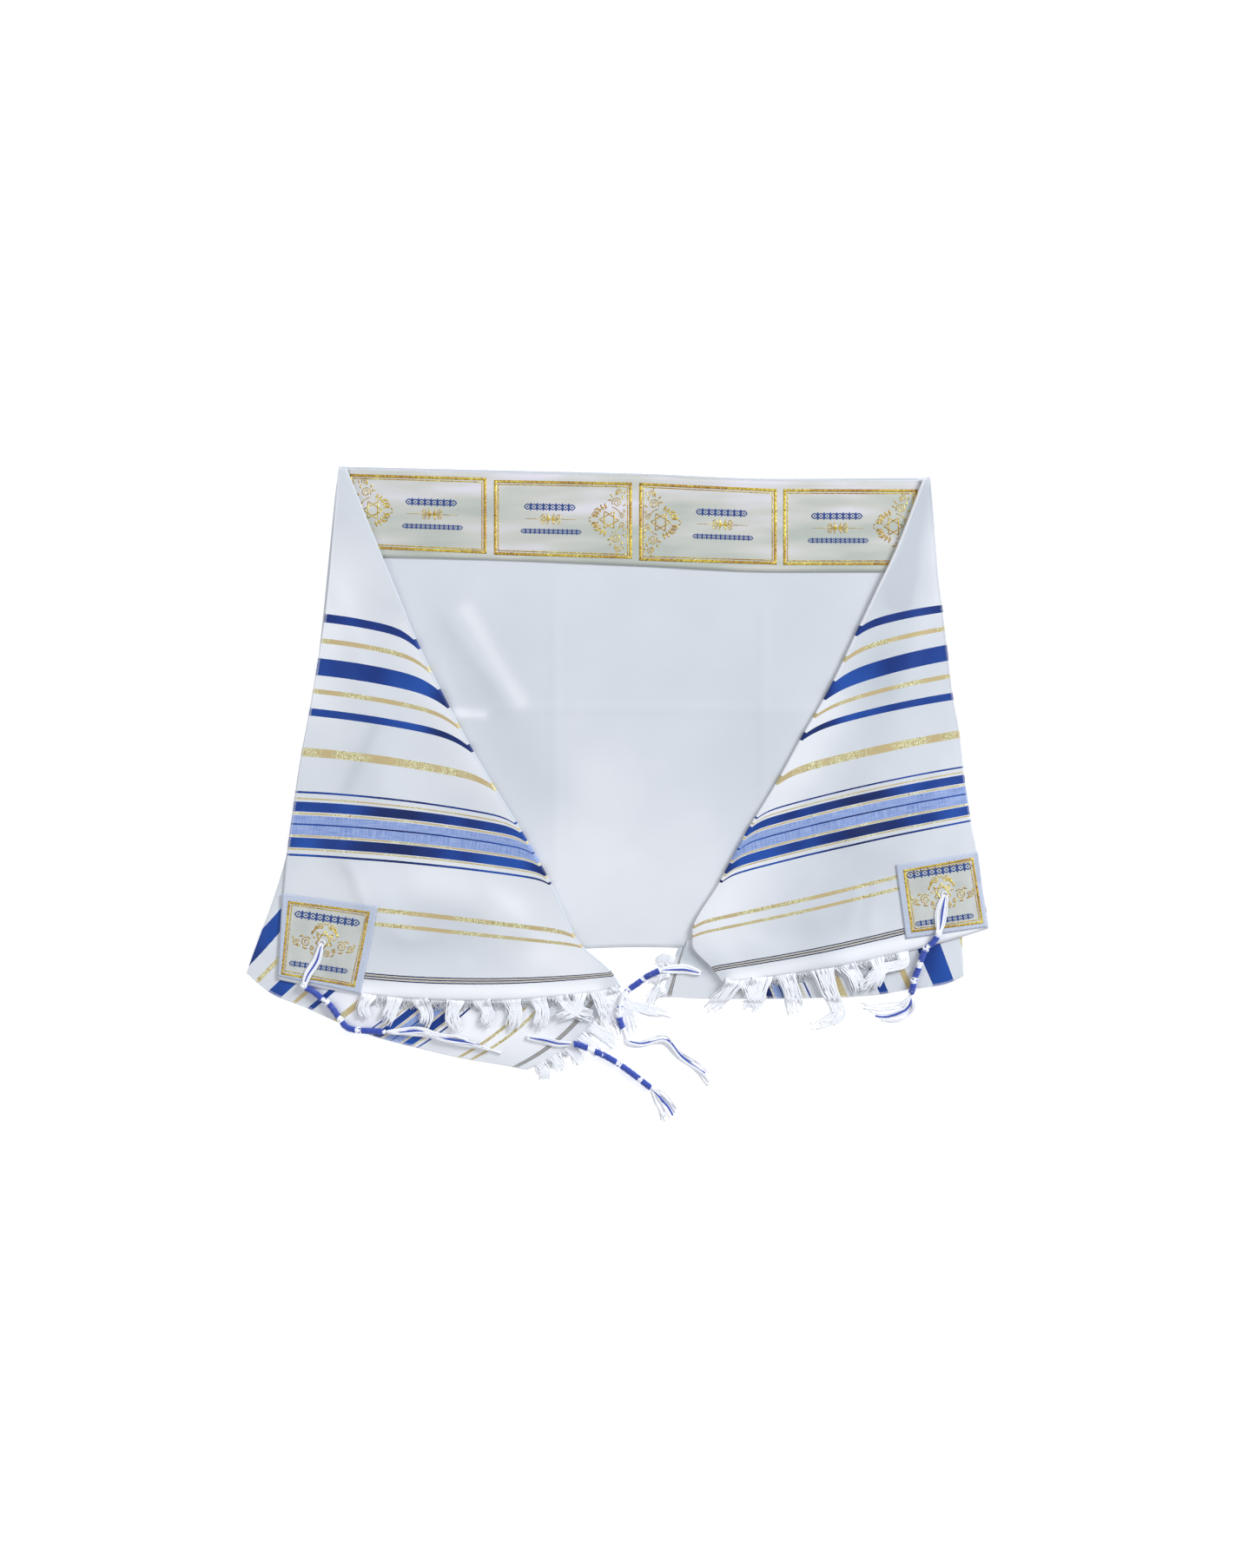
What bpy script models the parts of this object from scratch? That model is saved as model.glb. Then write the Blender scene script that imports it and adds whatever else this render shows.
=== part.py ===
"""Tallit prayer shawl, laid out flat on a surface.

The upper edge runs straight across the top. Both upper corners are folded over twice, so that each
striped end hangs down as a tapering flap, with the reverse of the cloth showing below it. A collar band
lies along the upper edge, a patch strengthens each front corner, and every corner carries a tassel of
wound cord. The short ends are fringed.

Positions are in millimetres until a mesh is made: x to the right, y towards the collar, z up.
The origin is under the middle of the back panel, on the surface that the shawl rests on.
"""

import math

import bmesh
import bpy
import numpy as np
from mathutils import Vector
from mathutils.bvhtree import BVHTree

MM = 0.001

# Walls and gaps
CLOTH = 1.2
COLLAR_WALL = 1.0
PATCH_WALL = 1.0
SEAM = 0.3
LAYER = CLOTH + 0.6

# Heights of the middle of the cloth's wall
FLOOR_LEVEL = CLOTH / 2
BACK_LEVEL = FLOOR_LEVEL + CLOTH + SEAM
INNER_ROLL = 2.5
ROLL_REACH = 45.0
STEP_REACH = 80.0
COLLAR_CLEAR = 3.0
COLLAR_REST = 0.1
FOLD_RETURN = 6.0
CORNER_DROOP = 1.6
DROOP_REACH = 30.0

# How the outer fold turns down to the back panel's edge: distance in from the fold, and drop. The rows
# of the lower layer meet that fold at a slant, which lengthens these distances, and near the upper
# corner they are short.
OUTER_TURN = ((6.0, 0.0), (3.0, 0.3), (0.8, 0.8))
BACK_INSET = 5.6
SHORT_ROW = 110.0
OBLIQUE_ROWS = 1.4
# The turn fades out over this run of shares, which starts a little before the lower corner
TURN_LEAD = 0.03
TURN_RUN = 0.05

# Share of a flap's length at which its outer fold ends in the shawl's lower corner
CORNER_SHARE = 0.28
# The right inner fold loosens from the first share on, over a run of shares, and past the curl's share
# it opens over another run
CURL_START = 0.74
CURL_RUN = 0.09
CURL_SHARE = 0.85
CURL_OPENING = 0.06
# How far the lower layer's rows sag sideways, as a part of their length
UNDER_SAG = {"left": 0.17, "right": 0.02}
OUTWARD = {"left": -1, "right": 1}

# Where the sheets' rows and columns lie
ROW_SHARES = np.concatenate([np.linspace(0, CORNER_SHARE, 6), np.linspace(CORNER_SHARE, CURL_SHARE, 10)[1:],
                             [0.89, 0.93, 0.965, 1.0]])
FLAP_COLUMNS = 12
UNDER_COLUMNS = 11
BACK_GRID = (9, 13)
COLLAR_GRID = (3, 17)
PATCH_GRID = 7
ROLL_TURNS = np.radians([60, 30, 0, -30, -60, -90])
# The inner and the outer fold as chains, for finding how near a place is to them
INNER_FOLD_SHARES = np.linspace(0, 1, 41)
OUTER_FOLD_SHARES = np.linspace(0, CORNER_SHARE, 15)

# One row for each section down a flap, from the upper edge to the fringe. Selvage is the flap's outer
# edge, fold its inner one, under the place where the layer below starts, and edge where that layer ends.
SECTION_COLUMNS = ("share", "selvage_x", "selvage_y", "fold_x", "fold_y",
                   "under_x", "under_y", "edge_x", "edge_y", "bow")
SECTIONS = {}
SECTIONS["left"] = (
    (0.000, -348, 280, -340, 280, -340, 280, -351, 258, 0),
    (0.150, -356, 190, -297, 174, -297, 174, -382, -15, 0),
    (0.220, -360, 147, -277, 125, -277, 125, -410, -172, 0),
    (0.280, -364, 112, -260, 83, -260, 83, -456, -309, 2),
    (0.390, -374, 46, -224, 9, -224, 9, -425, -334, 3),
    (0.480, -383, -7, -193, -49, -193, -49, -388, -349, 3),
    (0.560, -392, -54, -166, -94, -166, -94, -360, -362, 4),
    (0.670, -402, -121, -129, -155, -129, -155, -310, -382, 5),
    (0.760, -409, -173, -101, -206, -101, -206, -263, -395, 4),
    (0.850, -414, -230, -71, -270, -71, -270, -206, -408, 0),
    (0.965, -418, -300, -30, -309, -30, -309, -144, -419, -13),
    (1.000, -420, -316, -20, -325, -20, -325, -130, -422, -20),
)
SECTIONS["right"] = (
    (0.000, 339, 268, 332, 268, 332, 268, 342, 245, 0),
    (0.150, 346, 187, 298, 181, 298, 181, 365, -45, 0),
    (0.220, 349, 152, 277, 137, 277, 137, 373, -180, 0),
    (0.280, 353, 122, 259, 99, 259, 99, 379, -313, 2),
    (0.390, 360, 64, 221, 20, 221, 20, 356, -322, 3),
    (0.480, 366, 14, 191, -32, 191, -32, 315, -328, 3),
    (0.560, 374, -30, 163, -83, 163, -83, 273, -335, 3),
    (0.670, 380, -85, 125, -146, 125, -146, 212, -338, 4),
    (0.760, 387, -132, 95, -202, 95, -202, 152, -339, 3),
    (0.850, 396, -177, 63, -260, 63, -260, 108, -339, -4),
    (0.890, 399, -200, 63, -275, 58, -268, 80, -339, -4),
    (0.965, 405, -235, 88, -305, 53, -279, 36, -337, -6),
    (1.000, 408, -257, 99, -320, 47, -279, 25, -338, -9),
)

# Edges of the back panel and of the collar band: one row for each place along them
BACK_COLUMNS = ("across", "top_y", "bottom_y", "collar_top_y", "collar_bottom_y")
BACK_ROWS = (
    (-456, 283, -309, 279, 178),
    (-345, 281, -300, 277, 176),
    (-173, 277, -288, 273, 172),
    (0, 273, -279, 270, 165),
    (161, 267, -286, 264, 158),
    (335, 268, -308, 263, 158),
    (380, 268, -314, 263, 158),
)
COLLAR_LEFT = (-339, -349)
COLLAR_RIGHT = (329, 334)
# A first guess at the back panel's left edge and width, which its columns are settled from
BACK_GUESS = (-345, 682)

# Broad swells of the cloth: the x and y that each runs from and to, then its width and height
FLAP_SWELLS = (
    (-322, 60, -300, -120, 34, 2.5),
    (-330, -170, -292, -250, 26, 4.0),
    (-235, -205, -120, -245, 40, 3.0),
    (-255, -330, -110, -335, 30, 3.5),
    (300, 70, 275, -90, 34, 2.5),
    (250, -150, 205, -235, 30, 3.5),
    (345, -120, 320, -170, 28, 3.0),
    (235, -290, 140, -290, 26, 3.5),
)
UNDER_SWELLS = (
    (-436, -255, -440, -300, 30, 1.2),
    (-330, -370, -280, -330, 26, 2.2),
    (-205, -395, -150, -345, 30, 2.6),
    (-95, -395, -60, -350, 26, 2.6),
    (345, -300, 335, -325, 22, 1.6),
    (235, -325, 222, -300, 22, 2.2),
    (118, -330, 100, -300, 20, 2.0),
)

# Corner patches: their corners, clockwise from the upper left one
PATCHES = {
    "left": ((-414, -216), (-302, -231), (-323, -333), (-419, -312)),
    "right": ((299, -183), (395, -168), (406, -255), (311, -269)),
}

# Corner tassels: the way that each lies, from its hole to the end of its wound part
LEFT_FRONT_ROUTE = ((-368, -274), (-373, -292), (-385, -313), (-388, -324), (-379, -329), (-368, -338),
                    (-361, -343), (-348, -360), (-338, -372), (-326, -375), (-308, -376), (-294, -377))
RIGHT_FRONT_ROUTE = ((356, -218), (352, -237), (349, -260), (343, -272), (334, -280), (328, -294),
                     (325, -304), (321, -314), (319, -324), (317, -334))
LEFT_BACK_ROUTE = ((-130, -384), (-110, -387), (-91, -391), (-75, -391), (-59, -396), (-45, -402),
                   (-30, -410), (-15, -420), (1, -432), (15, -443))
RIGHT_BACK_ROUTE = ((73, -309), (51, -304), (29, -305), (13, -311), (-1, -321), (-13, -330),
                    (-21, -344), (-22, -361), (-17, -375))

# What a tassel is made of, along its length: bare loop, then windings between knots
LOOP_RADIUS = 1.7
HOLE_TAPER = 0.8
WINDING_RADIUS = 4.0
KNOT_RADIUS = 4.7
TASSEL_SIDES = 12
TASSEL_STEP = 8.0
END_STEP = 17.0
KNOT_SPACING = 24.0
KNOT_REACH = 4.0
CORD_REST = 0.4
STRAND_RADIUS = 0.8

# Free ends of the four tassels: one row for each strand, as a chain of places
LEFT_FRONT_ENDS = (
    ((-280, -373), (-255, -368), (-228, -374), (-200, -378)),
    ((-282, -377), (-256, -377), (-228, -382), (-196, -386)),
    ((-280, -381), (-254, -386), (-215, -393), (-178, -398), (-155, -403)),
)
RIGHT_FRONT_ENDS = (
    ((321, -347), (314, -360), (297, -366), (275, -361)),
    ((315, -346), (307, -354), (285, -358), (262, -354)),
    ((308, -341), (296, -343), (275, -346), (252, -341)),
)
LEFT_BACK_ENDS = (
    ((27, -446), (38, -455), (48, -470)),
    ((23, -452), (32, -464), (40, -480)),
    ((17, -456), (24, -470), (29, -488)),
)
RIGHT_BACK_ENDS = (
    ((-19, -388), (-12, -402), (4, -414), (24, -424)),
    ((-12, -386), (3, -396), (26, -402), (52, -420), (70, -443)),
    ((-7, -380), (12, -386), (40, -391), (62, -406), (82, -424), (94, -444)),
)

# The corner tassels: way, free ends, and how far from the hole the winding starts
TASSELS = {
    "left_front_tassel": (LEFT_FRONT_ROUTE, LEFT_FRONT_ENDS, 52.0),
    "right_front_tassel": (RIGHT_FRONT_ROUTE, RIGHT_FRONT_ENDS, 54.0),
    "left_back_tassel": (LEFT_BACK_ROUTE, LEFT_BACK_ENDS, 50.0),
    "right_back_tassel": (RIGHT_BACK_ROUTE, RIGHT_BACK_ENDS, 50.0),
}

# Fringe: gathered locks of yarn and short lashes along the ends of the cloth. Each row names the node,
# its side and layer, the shares across that it runs between, the way out, and how long its locks are.
FRINGES = (
    ("left_under_fringe", "left", "under", 0.10, 0.93, 1, 44.0),
    ("right_under_fringe", "right", "under", 0.30, 0.93, -1, 26.0),
    ("left_fringe", "left", "flap", 0.255, 0.965, -1, 52.0),
    ("right_fringe", "right", "flap", 0.330, 0.965, 1, 46.0),
)
TASSEL_PITCH = 31.0
LASH_PITCH = 7.8
LOCKS_PER_TASSEL = 3
LOCK_WIDTH = 1.8
LOCK_SPACING = 2.6
STRIP_DEPTH = 2.6
STRIP_OFFSET = 0.25
PATCH_SAMPLE = 8.0
LASH_LENGTH = 9.0
LASH_LEAN = 0.22
LASH_SWINGS = (2.3, 1.7)
LASH_START = 0.7
END_CLEAR = 3.0
LASH_REACHES = np.array([0.35, 1.0])
LOCK_REACHES = np.array([0.12, 0.4, 0.7, 1.0])
LOCK_FAN = np.array([0.0, 0.4, 1.8, 3.4])
LOCK_SHORTENING = 0.05
TASSEL_BEND = 0.18
BEND_SWING = (1.9, 0.6)
BEND_GROWTH = 0.0018
SETTLING_REACH = 14.0
TIP_SHARE = 0.55
STRAND_CLEARANCE = 0.45

SHARP_ANGLE = math.radians(50)
# Finish of each part: colour, roughness, metallic
FINISHES = {
    "white_cloth": ((0.90, 0.91, 0.94), 0.75, 0.0),
    "collar_satin": ((0.72, 0.74, 0.72), 0.45, 0.0),
    "patch_satin": ((0.66, 0.70, 0.80), 0.45, 0.0),
    "fringe_yarn": ((0.93, 0.94, 0.97), 0.80, 0.0),
    "tassel_cord": ((0.08, 0.12, 0.50), 0.65, 0.0),
}


# Numbers and curves

def smooth_step(value):
    """Rises softly from 0 to 1 as value does."""
    clipped = np.clip(value, 0.0, 1.0)
    return clipped * clipped * (3 - 2 * clipped)


def along_table(knots, values, places):
    """Values at places, on a smooth curve through a table that doesn't swing past its rows."""
    knots = np.asarray(knots, float)
    values = np.asarray(values, float)
    places = np.clip(np.asarray(places, float), knots[0], knots[-1])
    steps = np.diff(knots)
    slopes = np.diff(values) / steps
    tangents = np.zeros(len(knots))
    tangents[0] = slopes[0]
    tangents[-1] = slopes[-1]
    for row in range(1, len(knots) - 1):
        before, after = slopes[row - 1], slopes[row]
        if before * after > 0:
            weight_before = 2 * steps[row] + steps[row - 1]
            weight_after = steps[row] + 2 * steps[row - 1]
            total = weight_before + weight_after
            tangents[row] = total / (weight_before / before + weight_after / after)
    index = np.clip(np.searchsorted(knots, places, side="right") - 1, 0, len(steps) - 1)
    share = (places - knots[index]) / steps[index]
    left, right = values[index], values[index + 1]
    left_tangent = tangents[index] * steps[index]
    right_tangent = tangents[index + 1] * steps[index]
    square, cube = share ** 2, share ** 3
    return ((2 * cube - 3 * square + 1) * left + (cube - 2 * square + share) * left_tangent
            + (3 * square - 2 * cube) * right + (cube - square) * right_tangent)


def smooth_chain(points, spacing):
    """Evenly spaced places along a smooth line through points."""
    points = np.asarray(points, float)
    lengths = np.concatenate([[0.0], np.cumsum(np.linalg.norm(np.diff(points, axis=0), axis=1))])
    count = max(2, int(round(lengths[-1] / spacing)) + 1)
    places = np.linspace(0.0, lengths[-1], count)
    return np.stack([along_table(lengths, points[:, axis], places)
                     for axis in range(points.shape[1])], axis=1)


def distance_to_segment(x, y, start, end):
    """Distance in plan from each place to a straight stretch."""
    run_x, run_y = end[0] - start[0], end[1] - start[1]
    share = ((x - start[0]) * run_x + (y - start[1]) * run_y) / (run_x ** 2 + run_y ** 2)
    share = np.clip(share, 0.0, 1.0)
    return np.hypot(x - start[0] - share * run_x, y - start[1] - share * run_y)


def distance_to_chain(x, y, chain):
    """Distance in plan from each place to a chain of points."""
    nearest = np.full(np.shape(x), 1e9)
    for start, end in zip(chain[:-1], chain[1:]):
        nearest = np.minimum(nearest, distance_to_segment(x, y, start, end))
    return nearest


def table_column(rows, columns, name):
    """One named column of a table."""
    place = columns.index(name)
    return [row[place] for row in rows]


# Plan of the cloth

def section(side, name, shares):
    """A named section size of one end, at shares of the flap's length."""
    rows = SECTIONS[side]
    knots = np.array(table_column(rows, SECTION_COLUMNS, "share"))
    values = np.array(table_column(rows, SECTION_COLUMNS, name), float)
    shares = np.asarray(shares, float)
    if not name.startswith("edge"):
        return along_table(knots, values, shares)
    corner = int(np.argmin(abs(knots - CORNER_SHARE)))
    upper = along_table(knots[:corner + 1], values[:corner + 1], shares)
    lower = along_table(knots[corner:], values[corner:], shares)
    return np.where(shares <= CORNER_SHARE, upper, lower)


def section_curve(side, name, shares):
    """Plan points of one lengthwise line of an end."""
    return np.stack([section(side, name + "_x", shares), section(side, name + "_y", shares)], axis=-1)


def outward_normals(side, name, shares, sign):
    """Unit normals in plan of a lengthwise line, turned to the side that sign gives."""
    step = 0.012
    ahead = section_curve(side, name, np.clip(shares + step, 0, 1))
    behind = section_curve(side, name, np.clip(shares - step, 0, 1))
    tangent = ahead - behind
    tangent /= np.linalg.norm(tangent, axis=-1, keepdims=True)
    return sign * np.stack([-tangent[..., 1], tangent[..., 0]], axis=-1)


def back_edge(name, across):
    """Height on the page of one of the back panel's or the collar's edges."""
    return along_table(table_column(BACK_ROWS, BACK_COLUMNS, "across"),
                       table_column(BACK_ROWS, BACK_COLUMNS, name), across)


INNER_FOLDS = {side: section_curve(side, "fold", INNER_FOLD_SHARES) for side in SECTIONS}
OUTER_FOLDS = {side: section_curve(side, "edge", OUTER_FOLD_SHARES) for side in SECTIONS}


def swell(x, y, rows):
    """Height that the broad swells add."""
    total = np.zeros(np.shape(x))
    for start_x, start_y, end_x, end_y, width, height in rows:
        distance = distance_to_segment(x, y, (start_x, start_y), (end_x, end_y))
        total = total + height * np.exp(-(distance / width) ** 2)
    return total


def outer_fold_x(side, y):
    """Where the outer fold runs, at a height on the page."""
    chain = OUTER_FOLDS[side][::-1]
    return np.interp(y, chain[:, 1], chain[:, 0])


def under_level(x, y):
    """Height of the middle of the lower folded layer's wall."""
    past_back = back_edge("bottom_y", x) - y
    past_collar = back_edge("collar_bottom_y", x) - y
    over_back = 1 - smooth_step(past_back / STEP_REACH)
    over_collar = 1 - smooth_step((past_collar - COLLAR_CLEAR) / STEP_REACH)
    level = FLOOR_LEVEL + over_back * (BACK_LEVEL - FLOOR_LEVEL)
    return level + over_collar * (COLLAR_WALL + SEAM + COLLAR_REST) + swell(x, y, UNDER_SWELLS)


def flap_level(side, x, y):
    """Height of the middle of the upper folded layer's wall."""
    near_fold = np.exp(-(distance_to_chain(x, y, INNER_FOLDS[side]) / ROLL_REACH) ** 2)
    lift = (LAYER + swell(x, y, FLAP_SWELLS)) * (1 - near_fold) + 2 * INNER_ROLL * near_fold
    outside = OUTWARD[side] * (x - outer_fold_x(side, y))
    droop = CORNER_DROOP * smooth_step(outside / DROOP_REACH)
    return under_level(x, y) + lift - droop


# Sheets and closed bodies

def body_from(vertices, faces, name, finish):
    """A closed body as an object, with its faces turned outwards."""
    mesh = bpy.data.meshes.new(name)
    builder = bmesh.new()
    corners = [builder.verts.new(Vector(vertex) * MM) for vertex in vertices]
    for face in faces:
        builder.faces.new([corners[index] for index in face])
    bmesh.ops.recalc_face_normals(builder, faces=builder.faces)
    builder.to_mesh(mesh)
    builder.free()
    return finish_object(mesh, name, finish)


def finish_object(mesh, name, finish):
    """Puts a mesh in the scene with its own material."""
    colour, roughness, metallic = FINISHES[finish]
    material = bpy.data.materials.new(name + "_" + finish)
    material.use_nodes = True
    shader = material.node_tree.nodes["Principled BSDF"]
    shader.inputs["Base Color"].default_value = (*colour, 1.0)
    shader.inputs["Roughness"].default_value = roughness
    shader.inputs["Metallic"].default_value = metallic
    mesh.materials.append(material)
    mesh.shade_smooth()
    mesh.set_sharp_from_angle(angle=SHARP_ANGLE)
    piece = bpy.data.objects.new(name, mesh)
    bpy.context.collection.objects.link(piece)
    return piece


def grid_normals(grid):
    """Unit normals of a grid of points, facing up where the sheet lies flat."""
    down = np.gradient(grid, axis=0)
    along = np.gradient(grid, axis=1)
    normals = np.cross(along, down)
    return normals / np.linalg.norm(normals, axis=-1, keepdims=True)


def wall_from_grid(grid, wall, name, finish):
    """A sheet of even wall thickness around a grid of points, closed at its rims."""
    rows, columns = grid.shape[:2]
    normals = grid_normals(grid)
    vertices = np.concatenate([(grid + normals * wall / 2).reshape(-1, 3),
                               (grid - normals * wall / 2).reshape(-1, 3)])
    count = rows * columns

    def spot(row, column, lower):
        return row * columns + column + (count if lower else 0)

    faces = []
    for row in range(rows - 1):
        for column in range(columns - 1):
            quad = [(row, column), (row, column + 1), (row + 1, column + 1), (row + 1, column)]
            faces.append([spot(r, c, False) for r, c in quad])
            faces.append([spot(r, c, True) for r, c in reversed(quad)])
    rim = ([(0, c) for c in range(columns)] + [(r, columns - 1) for r in range(1, rows)]
           + [(rows - 1, c) for c in range(columns - 2, -1, -1)] + [(r, 0) for r in range(rows - 2, 0, -1)])
    for this, following in zip(rim, rim[1:] + rim[:1]):
        faces.append([spot(*this, False), spot(*this, True), spot(*following, True),
                      spot(*following, False)])
    return body_from([tuple(vertex) for vertex in vertices], faces, name, finish)


def surface_of(pieces):
    """What can be rested on: the joined surfaces of pieces, in millimetres."""
    vertices, faces = [], []
    for piece in pieces:
        start = len(vertices)
        vertices += [vertex.co / MM for vertex in piece.data.vertices]
        faces += [[start + index for index in face.vertices] for face in piece.data.polygons]
    return BVHTree.FromPolygons(vertices, faces)


def top_at(surface, x, y):
    """Height of the top of what lies at a place, or of the ground."""
    place, _, _, _ = surface.ray_cast(Vector((x, y, 80.0)), Vector((0, 0, -1)))
    return place.z if place else 0.0


def top_round(surface, x, y, reach):
    """Highest top within reach of a place."""
    spots = [(0.0, 0.0)]
    for turn in range(8):
        angle = turn * math.tau / 8
        spots.append((reach * math.cos(angle), reach * math.sin(angle)))
    return max(top_at(surface, x + dx, y + dy) for dx, dy in spots)


def clear_heights(surface, chain, reach, spacing=2.5):
    """For each place of a chain, the highest top under the runs to its neighbours."""
    runs = []
    for start, end in zip(chain[:-1], chain[1:]):
        count = max(2, int(math.hypot(end[0] - start[0], end[1] - start[1]) / spacing) + 1)
        runs.append(max(top_round(surface, start[0] + (end[0] - start[0]) * step / count,
                                  start[1] + (end[1] - start[1]) * step / count, reach)
                        for step in range(count + 1)))
    return [max(runs[max(0, place - 1):place + 1]) for place in range(len(chain))]


# Cloth

def curl_of(side, shares):
    """How far the inner fold has opened into a curl: none on the left."""
    if side == "left":
        return np.zeros(np.shape(shares))
    return smooth_step((np.asarray(shares) - CURL_START) / CURL_RUN)


def inner_roll(side, shares):
    """Radius of the inner fold's roll."""
    return (2 * INNER_ROLL - LAYER * curl_of(side, shares)) / 2


def roll_centre(side, shares):
    """Plan points of the middle of the inner fold's roll."""
    inward = outward_normals(side, "fold", shares, -OUTWARD[side])
    return section_curve(side, "fold", shares) - inward * inner_roll(side, shares)[:, None]


def flap_plan(side, shares, across):
    """Plan points of the upper layer, from the selvage at 0 to the inner fold's roll at 1."""
    selvage = section_curve(side, "selvage", shares)
    fold = roll_centre(side, shares)
    bow = section(side, "bow", shares)
    across = np.asarray(across)[..., None]
    plan = selvage * (1 - across) + fold * across
    plan[..., 1] += bow * 4 * across[..., 0] * (1 - across[..., 0])
    return plan


def make_flap(side):
    """The upper folded layer, with its inner fold rolled under."""
    shares = ROW_SHARES
    inward = outward_normals(side, "fold", shares, -OUTWARD[side])
    curl = curl_of(side, shares)
    roll = inner_roll(side, shares)
    centre = roll_centre(side, shares)
    columns = []
    for column in range(FLAP_COLUMNS):
        across = 0.5 - 0.5 * math.cos(math.pi * column / (FLAP_COLUMNS - 1))
        plan = flap_plan(side, shares, np.full(len(shares), across))
        columns.append(np.column_stack([plan, flap_level(side, plan[:, 0], plan[:, 1])]))
    top = columns[-1][:, 2]
    low = under_level(centre[:, 0], centre[:, 1]) + LAYER * curl
    for turn in ROLL_TURNS:
        plan = centre + inward * (roll * math.cos(turn))[:, None]
        height = (top + low) / 2 + (top - low) / 2 * math.sin(turn)
        columns.append(np.column_stack([plan, height]))
    for reach in (FOLD_RETURN / 2, FOLD_RETURN):
        plan = centre - inward * reach
        height = under_level(plan[:, 0], plan[:, 1]) + LAYER * curl
        columns.append(np.column_stack([plan, height]))
    grid = np.stack(columns, axis=1)
    if side == "right":
        grid = grid[:, ::-1]
    return wall_from_grid(grid, CLOTH, side + "_flap", "white_cloth")


def under_plan(side, shares, across):
    """Plan points of the lower layer, from under the inner fold at 0 to its outer edge at 1."""
    inward = outward_normals(side, "fold", shares, -OUTWARD[side])
    fold = section_curve(side, "fold", shares)
    open_start = section_curve(side, "under", shares)
    hidden_start = fold - inward * (INNER_ROLL + FOLD_RETURN + SEAM)
    opened = smooth_step((shares - CURL_SHARE) / CURL_OPENING)[:, None] if side == "right" else 0.0
    start = hidden_start * (1 - opened) + open_start * opened
    edge = section_curve(side, "edge", shares)
    chord = edge - start
    sideways = OUTWARD[side] * np.stack([chord[:, 1], -chord[:, 0]], axis=1)
    fade = smooth_step(shares / CORNER_SHARE)[:, None]
    control = (start + edge) / 2 + sideways * UNDER_SAG[side] * fade
    across = np.asarray(across)[:, None]
    return start * (1 - across) ** 2 + 2 * control * across * (1 - across) + edge * across ** 2


def make_under(side):
    """The lower folded layer, with its outer fold turned down past the back panel's edge."""
    shares = ROW_SHARES
    fold_drop = 1 - smooth_step((shares - CORNER_SHARE + TURN_LEAD) / TURN_RUN)
    length = np.linalg.norm(under_plan(side, shares, np.zeros(len(shares)))
                            - section_curve(side, "edge", shares), axis=1)
    fullness = np.minimum(1, length / SHORT_ROW)
    oblique = (1 + OBLIQUE_ROWS * fold_drop) * fullness
    flat_share = 1 - OUTER_TURN[0][0] * oblique / length
    places = [flat_share * column / UNDER_COLUMNS for column in range(UNDER_COLUMNS)]
    drops = [0.0] * UNDER_COLUMNS
    for inset, drop in OUTER_TURN:
        places.append(1 - inset * oblique / length)
        drops.append(drop)
    columns = []
    for across, drop in zip(places, drops):
        plan = under_plan(side, shares, across)
        level = under_level(plan[:, 0], plan[:, 1]) - drop * fold_drop * fullness
        columns.append(np.column_stack([plan, level]))
    grid = np.stack(columns, axis=1)
    if side == "left":
        grid = grid[:, ::-1]
    return wall_from_grid(grid, CLOTH, side + "_under", "white_cloth")


def make_back_panel():
    """The middle of the shawl, flat on the ground between the outer folds."""
    rows, columns = BACK_GRID
    grid = np.zeros((rows, columns, 3))
    for row in range(rows):
        down = row / (rows - 1)
        for column in range(columns):
            across = column / (columns - 1)
            x = BACK_GUESS[0] + across * BACK_GUESS[1]
            for _ in range(3):
                y = back_edge("top_y", x) * (1 - down) + back_edge("bottom_y", x) * down
                start = outer_fold_x("left", y) + BACK_INSET
                end = outer_fold_x("right", y) - BACK_INSET
                x = start * (1 - across) + end * across
            grid[row, column] = (x, y, FLOOR_LEVEL)
    return wall_from_grid(grid, CLOTH, "back_panel", "white_cloth")


def make_collar():
    """The band along the upper edge, laid on the back panel."""
    rows, columns = COLLAR_GRID
    grid = np.zeros((rows, columns, 3))
    level = CLOTH + SEAM + COLLAR_WALL / 2
    for row in range(rows):
        down = row / (rows - 1)
        start = COLLAR_LEFT[0] * (1 - down) + COLLAR_LEFT[1] * down
        end = COLLAR_RIGHT[0] * (1 - down) + COLLAR_RIGHT[1] * down
        for column in range(columns):
            x = start + (end - start) * column / (columns - 1)
            y = back_edge("collar_top_y", x) * (1 - down) + back_edge("collar_bottom_y", x) * down
            grid[row, column] = (x, y, level)
    return wall_from_grid(grid, COLLAR_WALL, "collar", "collar_satin")


def make_patch(side, flap):
    """A corner patch, made from the flap's own surface and moved out."""
    count = PATCH_GRID
    surface = surface_of([flap])
    corners = np.asarray(PATCHES[side], float)
    grid = np.zeros((count, count, 3))
    for row in range(count):
        down = row / (count - 1)
        start = corners[0] * (1 - down) + corners[3] * down
        end = corners[1] * (1 - down) + corners[2] * down
        for column in range(count):
            across = column / (count - 1)
            x, y = start * (1 - across) + end * across
            rest = top_round(surface, x, y, PATCH_SAMPLE)
            grid[row, column] = (x, y, rest + SEAM + PATCH_WALL / 2)
    return wall_from_grid(grid, PATCH_WALL, side + "_patch", "patch_satin")


# Strands

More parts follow.
